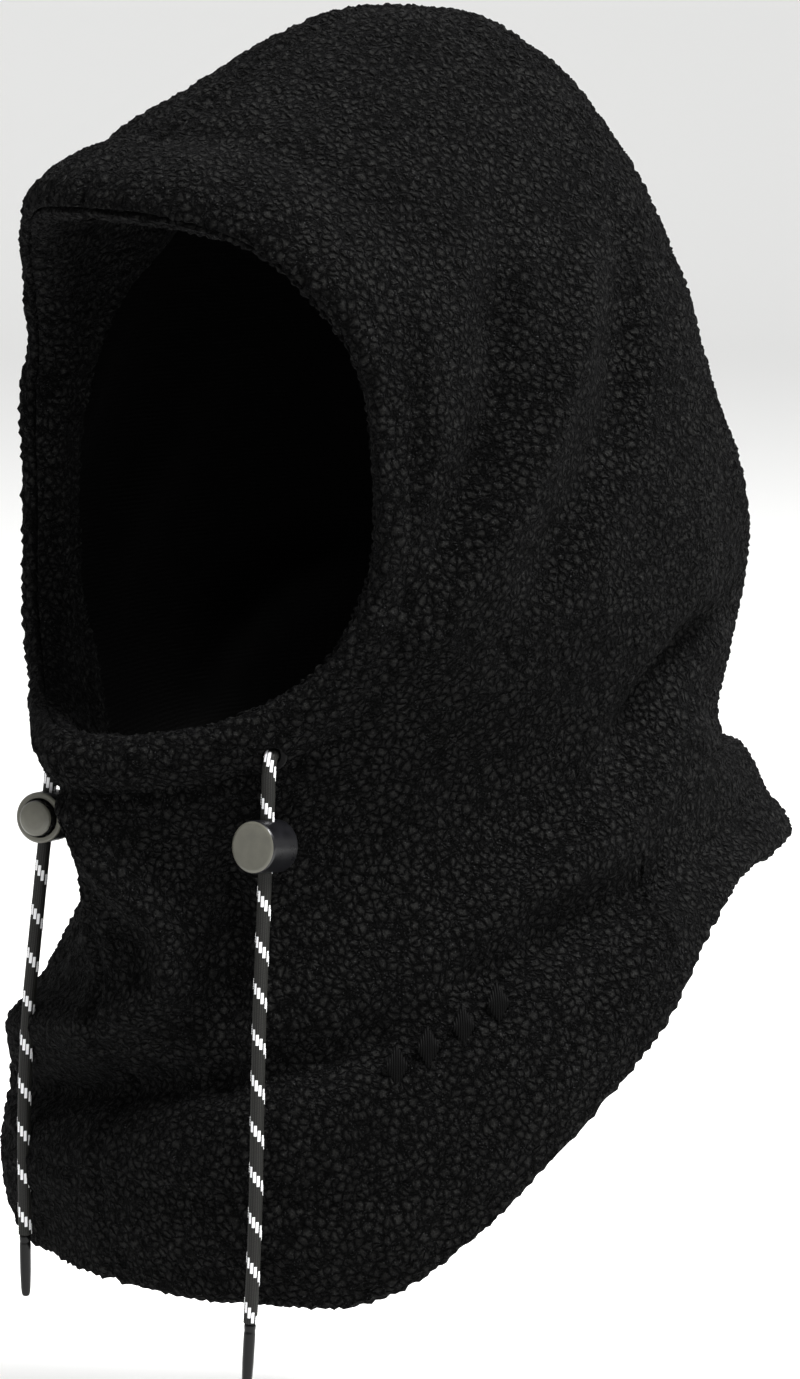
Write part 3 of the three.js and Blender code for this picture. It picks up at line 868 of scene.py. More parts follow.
RIGHT_FOLDS = (
    Fold(((-88, -62), (-84, -90), (-78, -115), (-70, -140), (-62, -160)), 2.8, 9.0),
    Fold(((-76, -60), (-74, -88), (-69, -112), (-62, -136)), -3.0, 7.0),
    Fold(((-100, -66), (-94, -95), (-88, -124), (-80, -150), (-72, -172)), -2.8, 8.0),
    Fold(((-126, -170), (-108, -181), (-96, -195), (-88, -212)), -4.0, 7.0),
    Fold(((-129, -214), (-106, -208), (-92, -214), (-76, -226)), 2.8, 7.0),
    Fold(((-148, -238), (-112, -240), (-86, -250), (-66, -264), (-50, -284)), -3.6, 9.0),
    Fold(((-30, -226), (-33, -246), (-36, -264), (-38, -288)), -3.0, 7.0),
    Fold(((-110, -262), (-84, -280), (-64, -304), (-50, -320)), 2.0, 11.0),
)
BACK_FOLDS = (
    Fold(((140, -196), (160, -203), (180, -201), (200, -203), (220, -196)), -3.5, 6.0),
    Fold(((134, -222), (158, -228), (180, -226), (202, -228), (226, -222)), 2.4, 7.0),
    Fold(((150, -182), (170, -187), (190, -184), (208, -180)), 2.2, 6.0),
    Fold(((118, -90), (124, -120), (130, -150), (140, -172)), 1.8, 10.0),
    Fold(((-118, -90), (-124, -120), (-131, -150), (-142, -172)), 1.8, 10.0),
)


@dataclass(frozen=True)
class Pile:
    """How the cloth's surface stands out: large unevenness, then curls."""

    curl: float = 3.0
    curl_height: float = 1.1
    soft: float = 16.0
    soft_height: float = 0.9

    def lift(self, points: np.ndarray) -> np.ndarray:
        """How far the pile stands out at each place, in millimetres."""
        drift = np.stack([value_noise(points, 5.0, seed) for seed in (11, 12, 13)], axis=1)
        first, second = pebbles(points + 1.1 * drift, self.curl, 21)
        nub = smoothstep(second - first, 0.0, 0.55) * (1 - 0.4 * first)
        return self.curl_height * (nub - 0.45) + self.soft_height * value_noise(points, self.soft, 31)


# ---- The fleece hood ----------------------------------------------------------------------------


@dataclass
class Patchwork:
    """Points and faces of one piece while it is built.

    pile says how much of the curly pile each point carries, and drape how much it follows folds.
    ties are pairs of number lists: the first's points keep their offset from the second's.
    """

    points: list = field(default_factory=list)
    pile: list = field(default_factory=list)
    drape: list = field(default_factory=list)
    faces: list = field(default_factory=list)
    ties: list = field(default_factory=list)
    count: int = 0

    def add(self, points: np.ndarray, pile: float | np.ndarray, drape: float | np.ndarray) -> np.ndarray:
        """Adds points and returns their numbers."""
        flat = points.reshape(-1, 3)
        self.points.append(flat)
        self.pile.append(np.broadcast_to(np.asarray(pile, float).reshape(-1), (len(flat),)))
        self.drape.append(np.broadcast_to(np.asarray(drape, float).reshape(-1), (len(flat),)))
        index = np.arange(self.count, self.count + len(flat)).reshape(points.shape[:-1])
        self.count += len(flat)
        return index

    def grid(self, index: np.ndarray, flip: bool) -> None:
        """Adds the faces between rows of numbered points."""
        a, b = index[:-1, :-1].ravel(), index[1:, :-1].ravel()
        c, d = index[1:, 1:].ravel(), index[:-1, 1:].ravel()
        quads = np.stack([a, d, c, b] if flip else [a, b, c, d], axis=1)
        self.faces.extend(quads.tolist())

    def arrays(self) -> tuple[np.ndarray, np.ndarray, np.ndarray]:
        """All points with their pile and drape."""
        return np.concatenate(self.points), np.concatenate(self.pile), np.concatenate(self.drape)


@dataclass
class FleeceHalf:
    """One side of the hood: its curly outer face, turned hem, rolled rim, facing and inner face.

    Each puff, groove and welt is (rise, place, width) in millimetres: places are out from the
    opening's edge, up from the hem or out from the centre seam. Bends are degrees round the roll.
    """

    side: Side
    form: HoodForm
    columns: int = 270
    rows: int = 300
    lining_columns: int = 110
    lining_rows: int = 130
    roll: float = 6.5
    roll_share: float = 0.26
    facing_depth: float = 13.0
    hem_depth: float = 9.0
    hem_band: float = 28.0
    seam_depth: float = 4.0
    eyelet_clear: float = 4.6
    eyelet_bore: float = 2.2
    seam_ease: float = 16.0
    tunnel_puff: tuple = (2.2, 8.0, 6.0)
    tunnel_groove: tuple = (-2.6, 17.5, 2.6)
    hem_puff: tuple = (1.1, 14.0, 11.0)
    hem_groove: tuple = (-1.0, 29.0, 3.0)
    seam_groove: tuple = (-1.5, 0.0, 2.0)
    seam_welt: tuple = (0.5, 4.5, 2.5)
    back_groove: tuple = (-1.2, 0.0, 2.0)
    eyelet_heap: float = 1.4
    heap_width: float = 1.7
    roll_bends: tuple = (10, 20, 30, 40, 50, 60, 68)
    facing_bends: tuple = (86, 96, 106, 118, 130, 142, 154, 166, 178)

    def angles(self, count: int) -> np.ndarray:
        """Angles of the columns, from the centre front to the centre back."""
        return self.side.value * np.linspace(0, math.pi, count + 1)

    def even_levels(self, angles: np.ndarray, rows: int, hem_drop: float = 0.0) -> np.ndarray:
        """Levels that step evenly down the cloth from the crown to the hem.

        Args:
            angles: The columns' angles.
            rows: How many steps to take.
            hem_drop: How far above the hem to stop.

        Returns:
            Rows by columns of levels.
        """
        hem = self.form.level_at(angles, self.form.hem_height(angles) + hem_drop)
        share = np.linspace(0, 1, 241)
        fine = share[:, None] * hem[None, :]
        places = self.form.point(angles[None, :], fine)
        steps = np.linalg.norm(np.diff(places, axis=0), axis=2)
        run = np.concatenate([np.zeros((1, len(angles))), np.cumsum(steps, axis=0)])
        out = np.empty((rows + 1, len(angles)))
        for k in range(len(angles)):
            out[:, k] = np.interp(np.linspace(0, run[-1, k], rows + 1), run[:, k], fine[:, k])
        return out

    def cut_grid(self, patch: Patchwork, index: np.ndarray, keep: np.ndarray, angles: np.ndarray,
                 levels: np.ndarray, flip: bool) -> list[int]:
        """Adds the faces of a grid outside the opening, and cuts those that cross its edge.

        Args:
            patch: The piece being built.
            index: The grid's point numbers.
            keep: How far outside the cut each point is. Negative points are dropped.
            angles: Each grid point's angle.
            levels: Each grid point's level.
            flip: Whether the faces' order is turned round.

        Returns:
            The new points on the cut.
        """
        inside = keep < 0
        corners = np.stack([inside[:-1, :-1], inside[1:, :-1], inside[1:, 1:], inside[:-1, 1:]])
        mixed = corners.any(axis=0) & ~corners.all(axis=0)
        whole = ~corners.any(axis=0)
        a, b = index[:-1, :-1][whole], index[1:, :-1][whole]
        c, d = index[1:, 1:][whole], index[:-1, 1:][whole]
        quads = np.stack([a, d, c, b] if flip else [a, b, c, d], axis=1)
        patch.faces.extend(quads.tolist())
        made: dict[tuple[int, int], int] = {}
        new_places: list[tuple[float, float]] = []
        start = patch.count

        def crossing(p: tuple[int, int], q: tuple[int, int]) -> int:
            """The number of the point where the edge from p to q crosses the cut."""
            key = (min(index[p], index[q]), max(index[p], index[q]))
            if key not in made:
                share = keep[p] / (keep[p] - keep[q])
                made[key] = start + len(new_places)
                new_places.append(
                    (
                        angles[p] + (angles[q] - angles[p]) * share,
                        levels[p] + (levels[q] - levels[p]) * share,
                    )
                )
            return made[key]

        for i, j in zip(*np.nonzero(mixed)):
            loop = [(i, j), (i + 1, j), (i + 1, j + 1), (i, j + 1)]
            polygon: list[int] = []
            for k, here in enumerate(loop):
                after = loop[(k + 1) % 4]
                if not inside[here]:
                    polygon.append(int(index[here]))
                if inside[here] != inside[after]:
                    polygon.append(crossing(here, after))
            if len(polygon) >= 3:
                patch.faces.append(polygon[::-1] if flip else polygon)
        places = np.array(new_places)
        patch.add(self.form.point(places[:, 0], places[:, 1]), 1.0, 1.0)
        return list(range(start, patch.count))

    def shell(self) -> tuple[np.ndarray, list, np.ndarray]:
        """Builds the fleece's outer face with its hem and rim.

        Returns:
            Points in millimetres, faces and each point's pile.
        """
        patch = Patchwork()
        sign = self.side.value
        flip = sign < 0
        angles = self.angles(self.columns)
        levels = self.even_levels(angles, self.rows)
        places = self.form.point(angles[None, :], levels)
        outer = patch.add(places, 1.0, 1.0)
        beyond = self.form.beyond_rim(places[..., 0], places[..., 2]) - self.roll_share
        beyond = np.where(np.abs(angles)[None, :] < math.radians(100), beyond, 1.0)
        spread = np.broadcast_to(angles[None, :], levels.shape)
        cut = self.cut_grid(patch, outer, beyond, spread, levels, flip)
        self.add_hem(patch, outer[-1], angles, flip)
        self.add_roll(patch, cut, flip)
        self.add_seam(patch, outer, beyond, flip)
        return self.finish_cloth(patch)

    def add_hem(self, patch: Patchwork, edge: np.ndarray, angles: np.ndarray, flip: bool) -> None:
        """Rolls the cloth under at the hem and runs it up inside, then tucks its edge in."""
        hem = self.form.level_at(angles, self.form.hem_height(angles))
        half = self.hem_depth / 2
        rows = [edge]
        for bend in np.linspace(0, math.pi, 9)[1:]:
            row = self.form.point(angles, hem, half * (1 - math.cos(bend)))
            row[:, 2] -= 0.8 * half * math.sin(bend)
            rows.append(patch.add(row, 1.0, 1.0))
        for rise in np.linspace(2, self.hem_band, 15):
            level = self.form.level_at(angles, self.form.hem_height(angles) + rise)
            depth = self.hem_depth + 0.6 * math.sin(math.pi * rise / self.hem_band)
            rows.append(patch.add(self.form.point(angles, level, depth), 0.8, 1.0))
        level = self.form.level_at(angles, self.form.hem_height(angles) + self.hem_band + 1)
        for depth in (7.5, 5.2):
            rows.append(patch.add(self.form.point(angles, level, depth), 0.3, 1.0))
        patch.grid(np.stack(rows), flip)

    def add_roll(self, patch: Patchwork, cut: list[int], flip: bool) -> None:
        """Rolls the cloth in round the face opening and tucks it behind the facing."""
        here = np.concatenate(patch.points)[cut]
        turn = self.form.turn_of(here[:, 0], here[:, 2], self.roll_share)
        if flip:
            turn = np.mod(turn, 2 * math.pi)
        order = np.argsort(turn if flip else -turn)
        turn = turn[order]
        rows = [np.array(cut)[order]]
        for bend in np.radians(self.roll_bends):
            grown = self.roll_share * (1 - math.sin(bend))
            depth = self.roll * (1 - math.cos(bend))
            rows.append(patch.add(self.form.rim(turn, grown, depth), 1.0, 1.0))
        for grown, depth in ((0.04, 4.9), (0.12, 5.2)):
            rows.append(patch.add(self.form.rim(turn, grown, depth), 0.0, 1.0))
        patch.grid(np.stack(rows), flip)

    def add_seam(self, patch: Patchwork, outer: np.ndarray, beyond: np.ndarray, flip: bool) -> None:
        """Turns the cloth in along the centre plane, as the seam's allowance."""
        angles = self.angles(self.columns)
        for column in (0, -1):
            kept = np.nonzero(beyond[:, column] >= 0)[0]
            for run in np.split(kept, np.nonzero(np.diff(kept) > 1)[0] + 1):
                if len(run) < 2:
                    continue
                edge = outer[run, column]
                base = np.concatenate(patch.points)[edge]
                levels = self.form.level_at(np.full(len(run), angles[column]), base[:, 2])
                inner = self.form.point(np.full(len(run), angles[column]), levels, self.seam_depth)
                inner[:, 0] = 0.0
                low = patch.add(inner, 0.0, 0.0)
                patch.ties.append((low, edge))
                pair = np.stack([edge, low], axis=1)
                patch.grid(pair, flip if column == 0 else not flip)

    def finish_cloth(self, patch: Patchwork) -> tuple[np.ndarray, list, np.ndarray]:
        """Applies folds, the rim's puff, seams and pile.

        Args:
            patch: The piece's points and faces.

        Returns:
            Points in millimetres, faces and each point's pile.
        """
        points, pile, drape = patch.arrays()
        points = points.copy()
        faces = patch.faces
        normals = self.seam_straight(points, corner_normals(points, faces))
        lift = np.zeros(len(points))
        for fold in (*LEFT_FOLDS, *RIGHT_FOLDS, *BACK_FOLDS):
            lift += fold.lift(points, self.form)
        lift += self.rim_puff(points)
        lift += self.hem_ridge(points)
        square = normals.copy()
        square[:, 0] *= smoothstep(np.abs(points[:, 0]), 0.0, self.seam_ease)
        square /= np.maximum(np.linalg.norm(square, axis=1, keepdims=True), 1e-9)
        moved = points + square * (lift * drape)[:, None]
        moved[:, 0] = self.side.value * np.maximum(self.side.value * moved[:, 0], 0.0)
        normals = self.seam_straight(points, corner_normals(moved, faces))
        fluff = Pile().lift(points)
        pressed, sunk = self.eyelet_dimple(points)
        seam = hump(points[:, 0], *self.seam_groove) + hump(np.abs(points[:, 0]), *self.seam_welt)
        rise = fluff * pile * pressed + seam * pile + sunk
        moved = moved + normals * rise[:, None]
        moved[:, 0] = self.side.value * np.maximum(self.side.value * moved[:, 0], 0.0)
        moved[np.abs(points[:, 0]) < ON_SEAM, 0] = 0.0
        for low, edge in patch.ties:
            moved[low] = moved[edge] + points[low] - points[edge]
        return moved, faces, pile

    def seam_straight(self, points: np.ndarray, normals: np.ndarray) -> np.ndarray:
        """Keeps the normals of seam points in the centre plane, so both halves agree there."""
        out = normals.copy()
        on_seam = np.abs(points[:, 0]) < ON_SEAM
        out[on_seam, 0] = 0.0
        length = np.linalg.norm(out, axis=1, keepdims=True)
        return out / np.maximum(length, 1e-9)

    def rim_puff(self, points: np.ndarray) -> np.ndarray:
        """The drawcord's tunnel as a soft roll beside the rim, with a stitched groove beyond it."""
        front = points[:, 1] < -20
        x, z = points[:, 0], points[:, 2]
        cloth = self.form.beyond_rim(x, z) * self.form.facing_end
        turn = self.form.turn_of(x, z, 0.3)
        chin = np.exp(-(((np.degrees(turn) + 90) / 42) ** 2))
        brow = np.exp(-(((np.degrees(turn) - 90) / 40) ** 2))
        strength = 0.25 + 0.75 * chin + 0.35 * brow
        roll = hump(cloth, *self.tunnel_puff) + hump(cloth, *self.tunnel_groove)
        return np.where(front, roll * strength, 0.0)

    def hem_ridge(self, points: np.ndarray) -> np.ndarray:
        """The faint ridge above the hem where the turned-up band ends inside."""
        angle = np.arctan2(points[:, 0], -points[:, 1])
        above = points[:, 2] - self.form.hem_height(angle)
        return hump(above, *self.hem_puff) + hump(above, *self.hem_groove)

    def eyelet_dimple(self, points: np.ndarray) -> tuple[np.ndarray, np.ndarray]:
        """Heaps the pile over the eyelet's flange and sinks it in the bore."""
        place = EyeletPlace.find(self.form, self.side)
        gap = np.linalg.norm(points - place.centre, axis=1)
        covered = hump(gap, self.eyelet_heap, self.eyelet_clear, self.heap_width)
        sunk = -1.6 * (1 - smoothstep(gap, self.eyelet_bore, self.eyelet_bore + 1.2))
        return smoothstep(gap, self.eyelet_bore, self.eyelet_clear + 1.0), covered + sunk

    def facing(self) -> tuple[np.ndarray, list, np.ndarray]:
        """Builds the turned facing inside the rim.

        Returns:
            Points in millimetres, faces and each point's pile.
        """
        patch = Patchwork()
        flip = self.side.value < 0
        steps = 420
        span = np.linspace(math.pi / 2, -math.pi / 2, steps + 1)
        turn = span if not flip else math.pi - span
        rows = []
        for grown, depth in ((0.12, 5.9), (0.04, 5.8)):
            rows.append(patch.add(self.form.rim(turn, grown, depth), 0.0, 1.0))
        for bend in np.radians(self.facing_bends):
            grown = self.roll_share * (1 - math.sin(bend))
            depth = self.roll * (1 - math.cos(bend))
            rows.append(patch.add(self.form.rim(turn, grown, depth), 1.0, 1.0))
        for share in np.linspace(self.roll_share + 0.05, 1.0, 14):
            rows.append(patch.add(self.form.rim(turn, share, self.facing_depth), 1.0, 1.0))
        for grown, depth in ((1.05, 11.5), (1.06, 9.0), (1.03, 6.5), (0.97, 5.0)):
            rows.append(patch.add(self.form.rim(turn, grown, depth), 0.4, 1.0))
        patch.grid(np.stack(rows), flip)
        points, pile, _ = patch.arrays()
        points = points.copy()
        points[np.abs(points[:, 0]) < 1e-4, 0] = 0.0
        normals = self.seam_straight(points, corner_normals(points, patch.faces))
        seam = hump(points[:, 0], *self.back_groove)
        rise = (Pile().lift(points) + seam) * pile
        moved = points + normals * rise[:, None]
        moved[np.abs(points[:, 0]) < ON_SEAM, 0] = 0.0
        return moved, patch.faces, pile

    def lining(self) -> tuple[np.ndarray, list]:
        """Builds the cloth's knitted inner face, behind the outer pile.

        Returns:
            Points in millimetres and faces.
        """
        patch = Patchwork()
        flip = self.side.value > 0
        angles = self.angles(self.lining_columns)
        levels = self.even_levels(angles, self.lining_rows, 8.0)
        outer = self.form.point(angles[None, :], levels)
        places = self.form.point(angles[None, :], levels, self.form.fabric + 0.9)
        places[:, [0, -1], 0] = 0.0
        index = patch.add(places, 0.0, 1.0)
        beyond = self.form.beyond_rim(outer[..., 0], outer[..., 2]) - 0.45
        beyond = np.where(np.abs(angles)[None, :] < math.radians(100), beyond, 1.0)
        inside = beyond < 0
        corners = inside[:-1, :-1] | inside[1:, :-1] | inside[1:, 1:] | inside[:-1, 1:]
        whole = ~corners
        a, b = index[:-1, :-1][whole], index[1:, :-1][whole]
        c, d = index[1:, 1:][whole], index[:-1, 1:][whole]
        patch.faces.extend(np.stack([a, d, c, b] if flip else [a, b, c, d], axis=1).tolist())
        points, _, _ = patch.arrays()
        base = outer.reshape(-1, 3)
        way = base - points
        way /= np.maximum(np.linalg.norm(way, axis=1, keepdims=True), 1e-6)
        lift = np.zeros(len(points))
        for fold in (*LEFT_FOLDS, *RIGHT_FOLDS, *BACK_FOLDS):
            if fold.rise < 0:
                lift += Fold(fold.route, 1.2 * fold.rise, 1.5 * fold.width).lift(base, self.form)
        way[:, 0] *= smoothstep(np.abs(points[:, 0]), 0.0, self.seam_ease)
        way /= np.maximum(np.linalg.norm(way, axis=1, keepdims=True), 1e-6)
        moved = points + way * lift[:, None]
        moved[:, 0] = self.side.value * np.maximum(self.side.value * moved[:, 0], 0.0)
        moved[np.abs(points[:, 0]) < 1e-4, 0] = 0.0
        return moved, patch.faces

    def build(self, fleece: bpy.types.Material, back: bpy.types.Material) -> list[bpy.types.Object]:
        """Makes the half's three pieces and ties each to the model.

        Args:
            fleece: The curly pile's material.
            back: The knitted back's material.

        Returns:
            The pieces.
        """
        word = self.side.word
        points, faces, _ = self.shell()
        shell = make_mesh(f"fleece_hood_{word}", points, faces, [fleece])
        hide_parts(f"hood_panel_{word}")
        points, faces = self.lining()
        lining = make_mesh(f"fleece_back_{word}", points, faces, [back])
        points, faces, _ = self.facing()
        facing = make_mesh(f"turned_facing_{word}", points, faces, [fleece])
        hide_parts(f"face_facing_{word}")
        pieces = [shell, lining, facing]
        for piece in pieces:
            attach(piece, ROOT_BODY)
            log.info("%s: %d faces", piece.name, len(piece.data.polygons))
        return pieces


# ---- Drawcord -----------------------------------------------------------------------------------


@dataclass(frozen=True)
class EyeletPlace:
    """Where an eyelet sits on the cloth, in millimetres."""

    centre: np.ndarray
    out: np.ndarray

    @staticmethod
    def find(form: HoodForm, side: Side) -> "EyeletPlace":
        """Finds an eyelet's centre and the way it faces.

        Args:
            form: The hood's form.
            side: Which eyelet.

        Returns:
            Its place.
        """
        turn = form.eyelet_turn if side is Side.LEFT else math.pi - form.eyelet_turn
        x, z = EyeletPlace.tunnel_outline(form, turn)
        angle, level = form.place_in_front(np.array([x]), np.array([z]))
        centre = form.point(angle, level)[0]
        deep = form.point(angle, level, form.fabric)[0]
        way = centre - deep
        return EyeletPlace(centre, way / np.linalg.norm(way))

    @staticmethod
    def tunnel_outline(form: HoodForm, turn: float) -> tuple[float, float]:
        """The front-view place of the cord's tunnel at a turn round the opening."""
        power = 2 / form.opening_power
        across, up = math.cos(turn), math.sin(turn)
        x = (form.opening_half_width + form.tunnel_side) * math.copysign(abs(across) ** power, across)
        z = (form.opening_half_height + form.tunnel_end) * math.copysign(abs(up) ** power, up)
        return x, form.opening_centre + z


def centripetal(points: np.ndarray, steps: int) -> np.ndarray:
    """A centripetal Catmull-Rom curve, stepped evenly between its points.

    Args:
        points: M by 3 places to pass through.
        steps: Steps between neighbouring points.

    Returns:
        The places along the curve.
    """
    ahead = 2 * points[0] - points[1]
    behind = 2 * points[-1] - points[-2]
    padded = np.vstack([ahead, points, behind])
    out = []
    for k in range(len(points) - 1):
        p0, p1, p2, p3 = padded[k : k + 4]
        d0, d1, d2 = (np.linalg.norm(b - a) ** 0.5 for a, b in ((p0, p1), (p1, p2), (p2, p3)))
        start = ((p1 - p0) / d0 - (p2 - p0) / (d0 + d1) + (p2 - p1) / d1) * d1
        end = ((p2 - p1) / d1 - (p3 - p1) / (d1 + d2) + (p3 - p2) / d2) * d1
        for t in np.linspace(0, 1, steps, endpoint=False):
            out.append(
                (2 * p1 - 2 * p2 + start + end) * t**3
                + (-3 * p1 + 3 * p2 - 2 * start - end) * t**2
                + start * t
                + p1
            )
    out.append(points[-1])
    return np.array(out)


@dataclass
class Drawcord:
    """One free end of the drawcord, from inside its eyelet down to its moulded tip."""

    side: Side
    form: HoodForm
    above: tuple
    straight: tuple
    below: tuple
    radius: float = 2.0
    wales: int = 18
    stitch: float = 0.7
    tracer_lead: float = 13.0
    tracer_columns: int = 10
    dash: float = 3.1
    step: float = 0.28
    around: int = 54
    tip_length: float = 19.0
    tip_radius: float = 1.7

    def route(self) -> tuple[np.ndarray, np.ndarray, np.ndarray]:
        """The cord's points, and the start and direction of its straight stretch."""
        sign = self.side.value
        place = EyeletPlace.find(self.form, self.side)

        def spot(offset: tuple) -> np.ndarray:
            """A point at an offset across, forward and down from the eyelet."""
            across, forward, down = offset
            return place.centre + np.array([sign * across, -forward, -down])

        top, bottom = (spot(p) for p in self.straight)
        along = (bottom - top) / np.linalg.norm(bottom - top)
        out = [place.centre - place.out * depth for depth in (1.7, 0.0, -2.0)]
        held = [top, top + 2 * along, bottom - 4 * along, bottom]
        points = [*out, *(spot(p) for p in self.above), *held, *(spot(p) for p in self.below)]
        return np.array(points), top, along

    def tube(self, path: np.ndarray) -> tuple[np.ndarray, list, dict[str, np.ndarray]]:
        """Builds the knitted tube along a path.

        Args:
            path: Places along the cord's middle.

        Returns:
            Points, faces, and each point's rib and tracer numbers.
        """
        gaps = np.linalg.norm(np.diff(path, axis=0), axis=1)
        run = np.concatenate([[0], np.cumsum(gaps)])
        count = int(run[-1] / self.step)
        stations = np.linspace(0, run[-1], count + 1)
        middle = np.stack([np.interp(stations, run, path[:, k]) for k in range(3)], axis=1)
        way = np.gradient(middle, axis=0)
        way /= np.linalg.norm(way, axis=1, keepdims=True)
        across = np.cross(way[0], [0.0, 0.0, 1.0])
        if np.linalg.norm(across) < 0.1:
            across = np.cross(way[0], [0.0, 1.0, 0.0])
        frames = []
        for k in range(count + 1):
            across = across - way[k] * (across @ way[k])
            across /= np.linalg.norm(across)
            frames.append((across, np.cross(way[k], across)))
        theta = np.arange(self.around) / self.around * 2 * math.pi
        a = np.array([f[0] for f in frames])[:, None, :]
        b = np.array([f[1] for f in frames])[:, None, :]
        turn, height = np.meshgrid(theta, stations)
        wale = turn / (2 * math.pi) * self.wales
        column = np.floor(wale)
        rib = np.abs(np.sin(math.pi * wale))
        stitch = np.abs(np.sin(math.pi * (height / self.stitch + 0.5 * (column % 2))))
        texture = np.clip(rib, 0, 1) * (0.25 + 0.75 * stitch)
        lane = np.floor(turn / (2 * math.pi) * self.tracer_columns)
        phase = np.mod(height + lane * self.tracer_lead / self.tracer_columns, self.tracer_lead)
        across_lane = np.mod(turn / (2 * math.pi) * self.tracer_columns, 1.0)
        tracer = ((phase < self.dash) & (np.abs(across_lane - 0.5) < 0.38)).astype(float)
        radius = self.radius - 0.17 + 0.2 * texture + 0.07 * tracer
        points = middle[:, None, :] + radius[..., None] * (
            a * np.cos(turn)[..., None] + b * np.sin(turn)[..., None]
        )
        faces = []
        index = np.arange((count + 1) * self.around).reshape(count + 1, self.around)
        nxt = np.roll(index, -1, axis=1)
        quads = np.stack([index[:-1], nxt[:-1], nxt[1:], index[1:]], axis=-1).reshape(-1, 4)
        faces.extend(quads.tolist())
        faces.append(index[0][::-1].tolist())
        faces.append(index[-1].tolist())
        return points.reshape(-1, 3), faces, {"rib": texture.ravel(), "tracer": tracer.ravel()}

    def build(self, cord_finish: bpy.types.Material, tip_finish: bpy.types.Material,
              riders: Sequence[object]) -> list[bpy.types.Object]:
        """Args:
            cord_finish: The cord's material.
            tip_finish: The tip's material.
            riders: The pieces that sit on the cord, besides its tip. Not used.

        Returns:
            The cord and the tip.
        """
        word = self.side.word
        points, _, _ = self.route()
        path = centripetal(points, 12)
        corners, faces, numbers = self.tube(path)
        cord = make_mesh(f"drawcord_{word}", corners, faces, [cord_finish], numbers)
        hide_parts(f"drawcord_{word}_end")
        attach(cord, ROOT_BODY)
        tip = self.make_tip(path, tip_finish)
        return [cord, tip]

    def make_tip(self, path: np.ndarray, finish: bpy.types.Material) -> bpy.types.Object:
        """Moulds the tip: a slim sleeve, crimped near the cord and rounded at its end."""
        end = path[-1]
        way = path[-1] - path[-8]
        way /= np.linalg.norm(way)
        r, length = self.tip_radius, self.tip_length
        outline = [
            (0.0, 0.2), (r * 0.9, 0.2), (r * 1.02, 0.7), (r, 1.4), (r * 0.93, 2.2), (r, 3.0),
            (r, 6.0), (r * 0.97, length * 0.6), (r * 0.86, length * 0.86), (r * 0.78, length - 1.2),
            (r * 0.62, length - 0.3), (r * 0.3, length), (0.0, length),
        ]
        tip = lathe(f"cord_tip_moulding_{self.side.word}", outline, 40, [finish])
        turn = Vector((0, 0, 1)).rotation_difference(Vector(way.tolist())).to_matrix().to_4x4()
        tip.data.transform(Matrix.Translation(Vector((end * MM).tolist())) @ turn)
        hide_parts(f"cord_tip_{self.side.word}")
        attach(tip, ROOT_BODY)
        return tip


# ---- Cord locks ---------------------------------------------------------------------------------


def smooth_outline(
    outline: Sequence[tuple[float, float]], softness: float = 0.22
) -> list[tuple[float, float]]:
    """Rounds an outline's corners a little.

    Args:
        outline: (radius, height) corners.
        softness: The largest length taken from each side of a corner.

    Returns:
        A longer outline.
    """
    points = [np.array(p, dtype=float) for p in outline]
    out = [points[0]]
    for before, here, after in zip(points[:-2], points[1:-1], points[2:]):
        back, ahead = before - here, after - here
        a, b = np.linalg.norm(back), np.linalg.norm(ahead)
        cut = min(softness, a * 0.4, b * 0.4)
        start, end = here + back / a * cut, here + ahead / b * cut
        for t in (0.0, 0.33, 0.67, 1.0):
            out.append((1 - t) ** 2 * start + 2 * t * (1 - t) * here + t * t * end)
    out.append(points[-1])
    return [(max(float(p[0]), 0.0), float(p[1])) for p in out]


def lathe(name: str, outline: Sequence[tuple[float, float]], sides: int,
          materials: Sequence[bpy.types.Material]) -> bpy.types.Object:
    """Turns an outline about Z into a closed piece.

    Args:
        name: The piece's name.
        outline: (radius, height) corners in millimetres, starting and ending on the axis.
        sides: Facets round the axis.
        materials: The piece's materials.

    Returns:
        The piece.
    """
    profile = smooth_outline(outline)
    rings = [p for p in profile if p[0] > 1e-6]
    theta = np.arange(sides) / sides * 2 * math.pi
    points = [np.array([r * np.cos(t), r * np.sin(t), z]) for r, z in rings for t in theta]
    index = np.arange(len(rings) * sides).reshape(len(rings), sides)
    nxt = np.roll(index, -1, axis=1)
    faces = np.stack([index[:-1], nxt[:-1], nxt[1:], index[1:]], axis=-1).reshape(-1, 4).tolist()
    first, last = len(points), len(points) + 1
    points += [np.array([0.0, 0.0, profile[0][1]]), np.array([0.0, 0.0, profile[-1][1]])]
    for k in range(sides):
        faces.append([first, int(nxt[0][k]), int(index[0][k])])
        faces.append([last, int(index[-1][k]), int(nxt[-1][k])])
    piece = make_mesh(name, np.array(points), faces, materials)
    tidy = bmesh.new()
    tidy.from_mesh(piece.data)
    bmesh.ops.recalc_face_normals(tidy, faces=tidy.faces)
    tidy.to_mesh(piece.data)
    tidy.free()
    return piece


